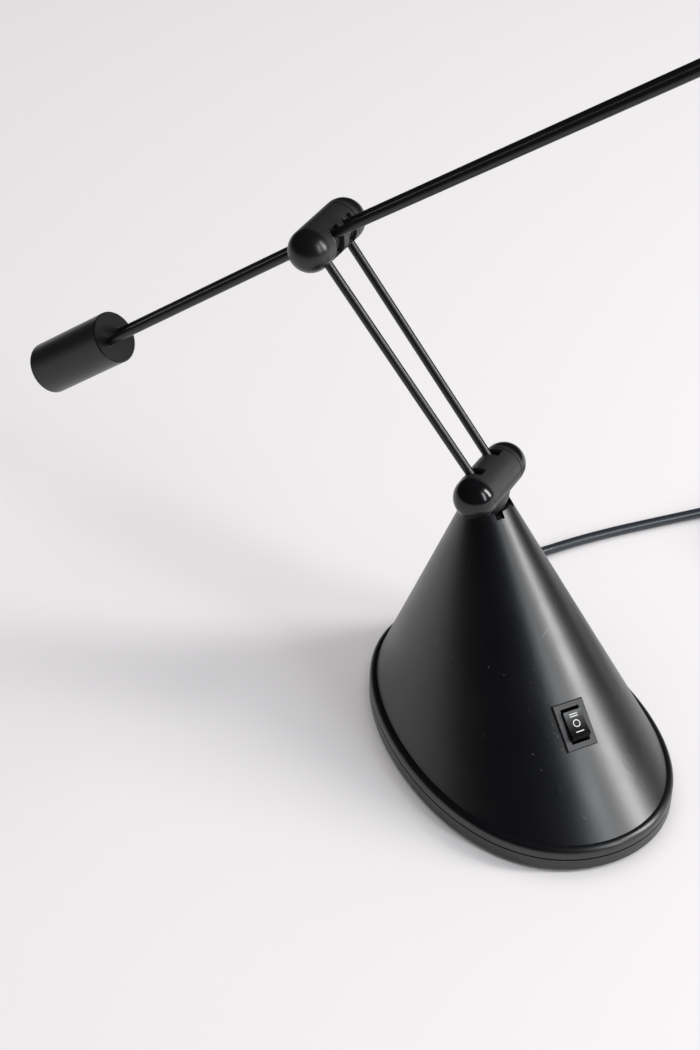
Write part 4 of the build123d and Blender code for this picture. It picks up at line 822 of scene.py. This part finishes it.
# %% The lamp's filament
turn_count = 8
turn_pitch = 0.45
turn_radius = 0.55
wire_radius = 0.10
filament_drop = 45.0
support_size = (0.25, 0.25, 12.0)
support_drop = 39.0
support_aside = 1.9
turns = []
for count in range(turn_count):
    place = head_joint + east * (count - (turn_count - 1) / 2) * turn_pitch * MM - above * filament_drop * MM
    turns.append(ring(turn_radius, wire_radius, (north, above, east), place))
for side in (-1, 1):
    place = head_joint + east * side * support_aside * MM - above * support_drop * MM
    turns.append(bar(support_size, 0.05, (east, north, above), place))
join(turns, "lamp_filament", finish_of["plain_steel"], "head")

# %% [markdown]
# ## The cord's facts
# The cord is a table lamp's usual 1.8 m of 5 mm flex.

print("the cord is 1.8 m of 5 mm flex")

# %% [markdown]
# ## Table and light
# The lamp stands on plain white paper by a window on its right. A large plane is the table.

# %% Table
bpy.ops.object.select_all(action="DESELECT")
bpy.ops.mesh.primitive_plane_add(size=3.2, location=(0.0, 0.2, 0.0))
table = bpy.context.active_object
table.name = "table_top"
paper_color = (0.80, 0.785, 0.795)
paper, _ = new_material("white_paper", paper_color, 0.7)
table.data.materials.append(paper)
print("table", tuple(table.dimensions))

# %% [markdown]
# ### The window and the ceiling
# The window has two tall panes, which show as two slanting strips on each round joint and as the long streaks
# on the cone. A big soft light overhead fills the room. It is kept out of reflections, because a black skin
# would turn grey under it.

# %% Helpers for lights
def area_light(title, place, aim, size, power, color=(1, 1, 1)):
    """A rectangular light at a place, turned to face a point."""
    data = bpy.data.lights.new(title, "AREA")
    data.shape = "RECTANGLE"
    data.size, data.size_y = size
    data.energy = power
    data.color = color
    item = bpy.data.objects.new(title, data)
    bpy.context.scene.collection.objects.link(item)
    item.location = place
    item.rotation_euler = (Vector(aim) - Vector(place)).to_track_quat("-Z", "Y").to_euler()
    return item


def seen_from(middle, turn, height, distance):
    """A place round a point, given by its bearing and height in degrees and its distance."""
    turn, height = math.radians(turn), math.radians(height)
    way = Vector((math.cos(turn) * math.cos(height), math.sin(turn) * math.cos(height), math.sin(height)))
    return middle + way * distance


# %% Lights
middle = Vector((0.0, 0.0, 0.12))
window_distance = 2.2
left_place = seen_from(middle, -9, 30, window_distance)
right_place = seen_from(middle, 24, 28, window_distance)
area_light("left_pane", left_place, middle, (0.24, 1.5), 15.0, (0.93, 0.97, 1.0))
area_light("right_pane", right_place, middle, (0.34, 1.5), 36.0, (1.0, 0.99, 0.98))
ceiling = area_light("ceiling", (-0.3, 0.4, 2.6), middle, (3.0, 3.0), 30.0, (1.0, 0.99, 0.985))
ceiling.visible_glossy = False
print("panes at", left_place, right_place)

# %% [markdown]
# ### The room
# The room gives a pale even light, but the lamp's glossy skin mirrors its dark far side. The camera sees a
# backdrop of the paper's own colour. Light Path tells the three kinds of ray apart.

# %% Room
world = bpy.data.worlds.new("studio")
bpy.context.scene.world = world
world.use_nodes = True
room = world.node_tree
pale = room.nodes["Background"]
pale.inputs["Color"].default_value = (0.93, 0.92, 0.93, 1.0)
pale.inputs["Strength"].default_value = 0.44
dim = add_node(room, "Background", {"Color": (0.80, 0.88, 1.0, 1.0), "Strength": 0.014})
backdrop = add_node(room, "Background", {"Color": (*paper_color, 1.0)})
ray = add_node(room, "LightPath")
mirrored = add_node(room, "MixShader")
seen = add_node(room, "MixShader")
link(
    room,
    (ray.outputs["Is Glossy Ray"], mirrored.inputs[0]),
    (pale.outputs["Background"], mirrored.inputs[1]),
    (dim.outputs["Background"], mirrored.inputs[2]),
    (ray.outputs["Is Camera Ray"], seen.inputs[0]),
    (mirrored.outputs["Shader"], seen.inputs[1]),
    (backdrop.outputs["Background"], seen.inputs[2]),
    (seen.outputs["Shader"], room.nodes["World Output"].inputs["Surface"]),
)
bpy.context.scene.view_settings.view_transform = "Standard"
print(len(room.nodes), "nodes in the room")
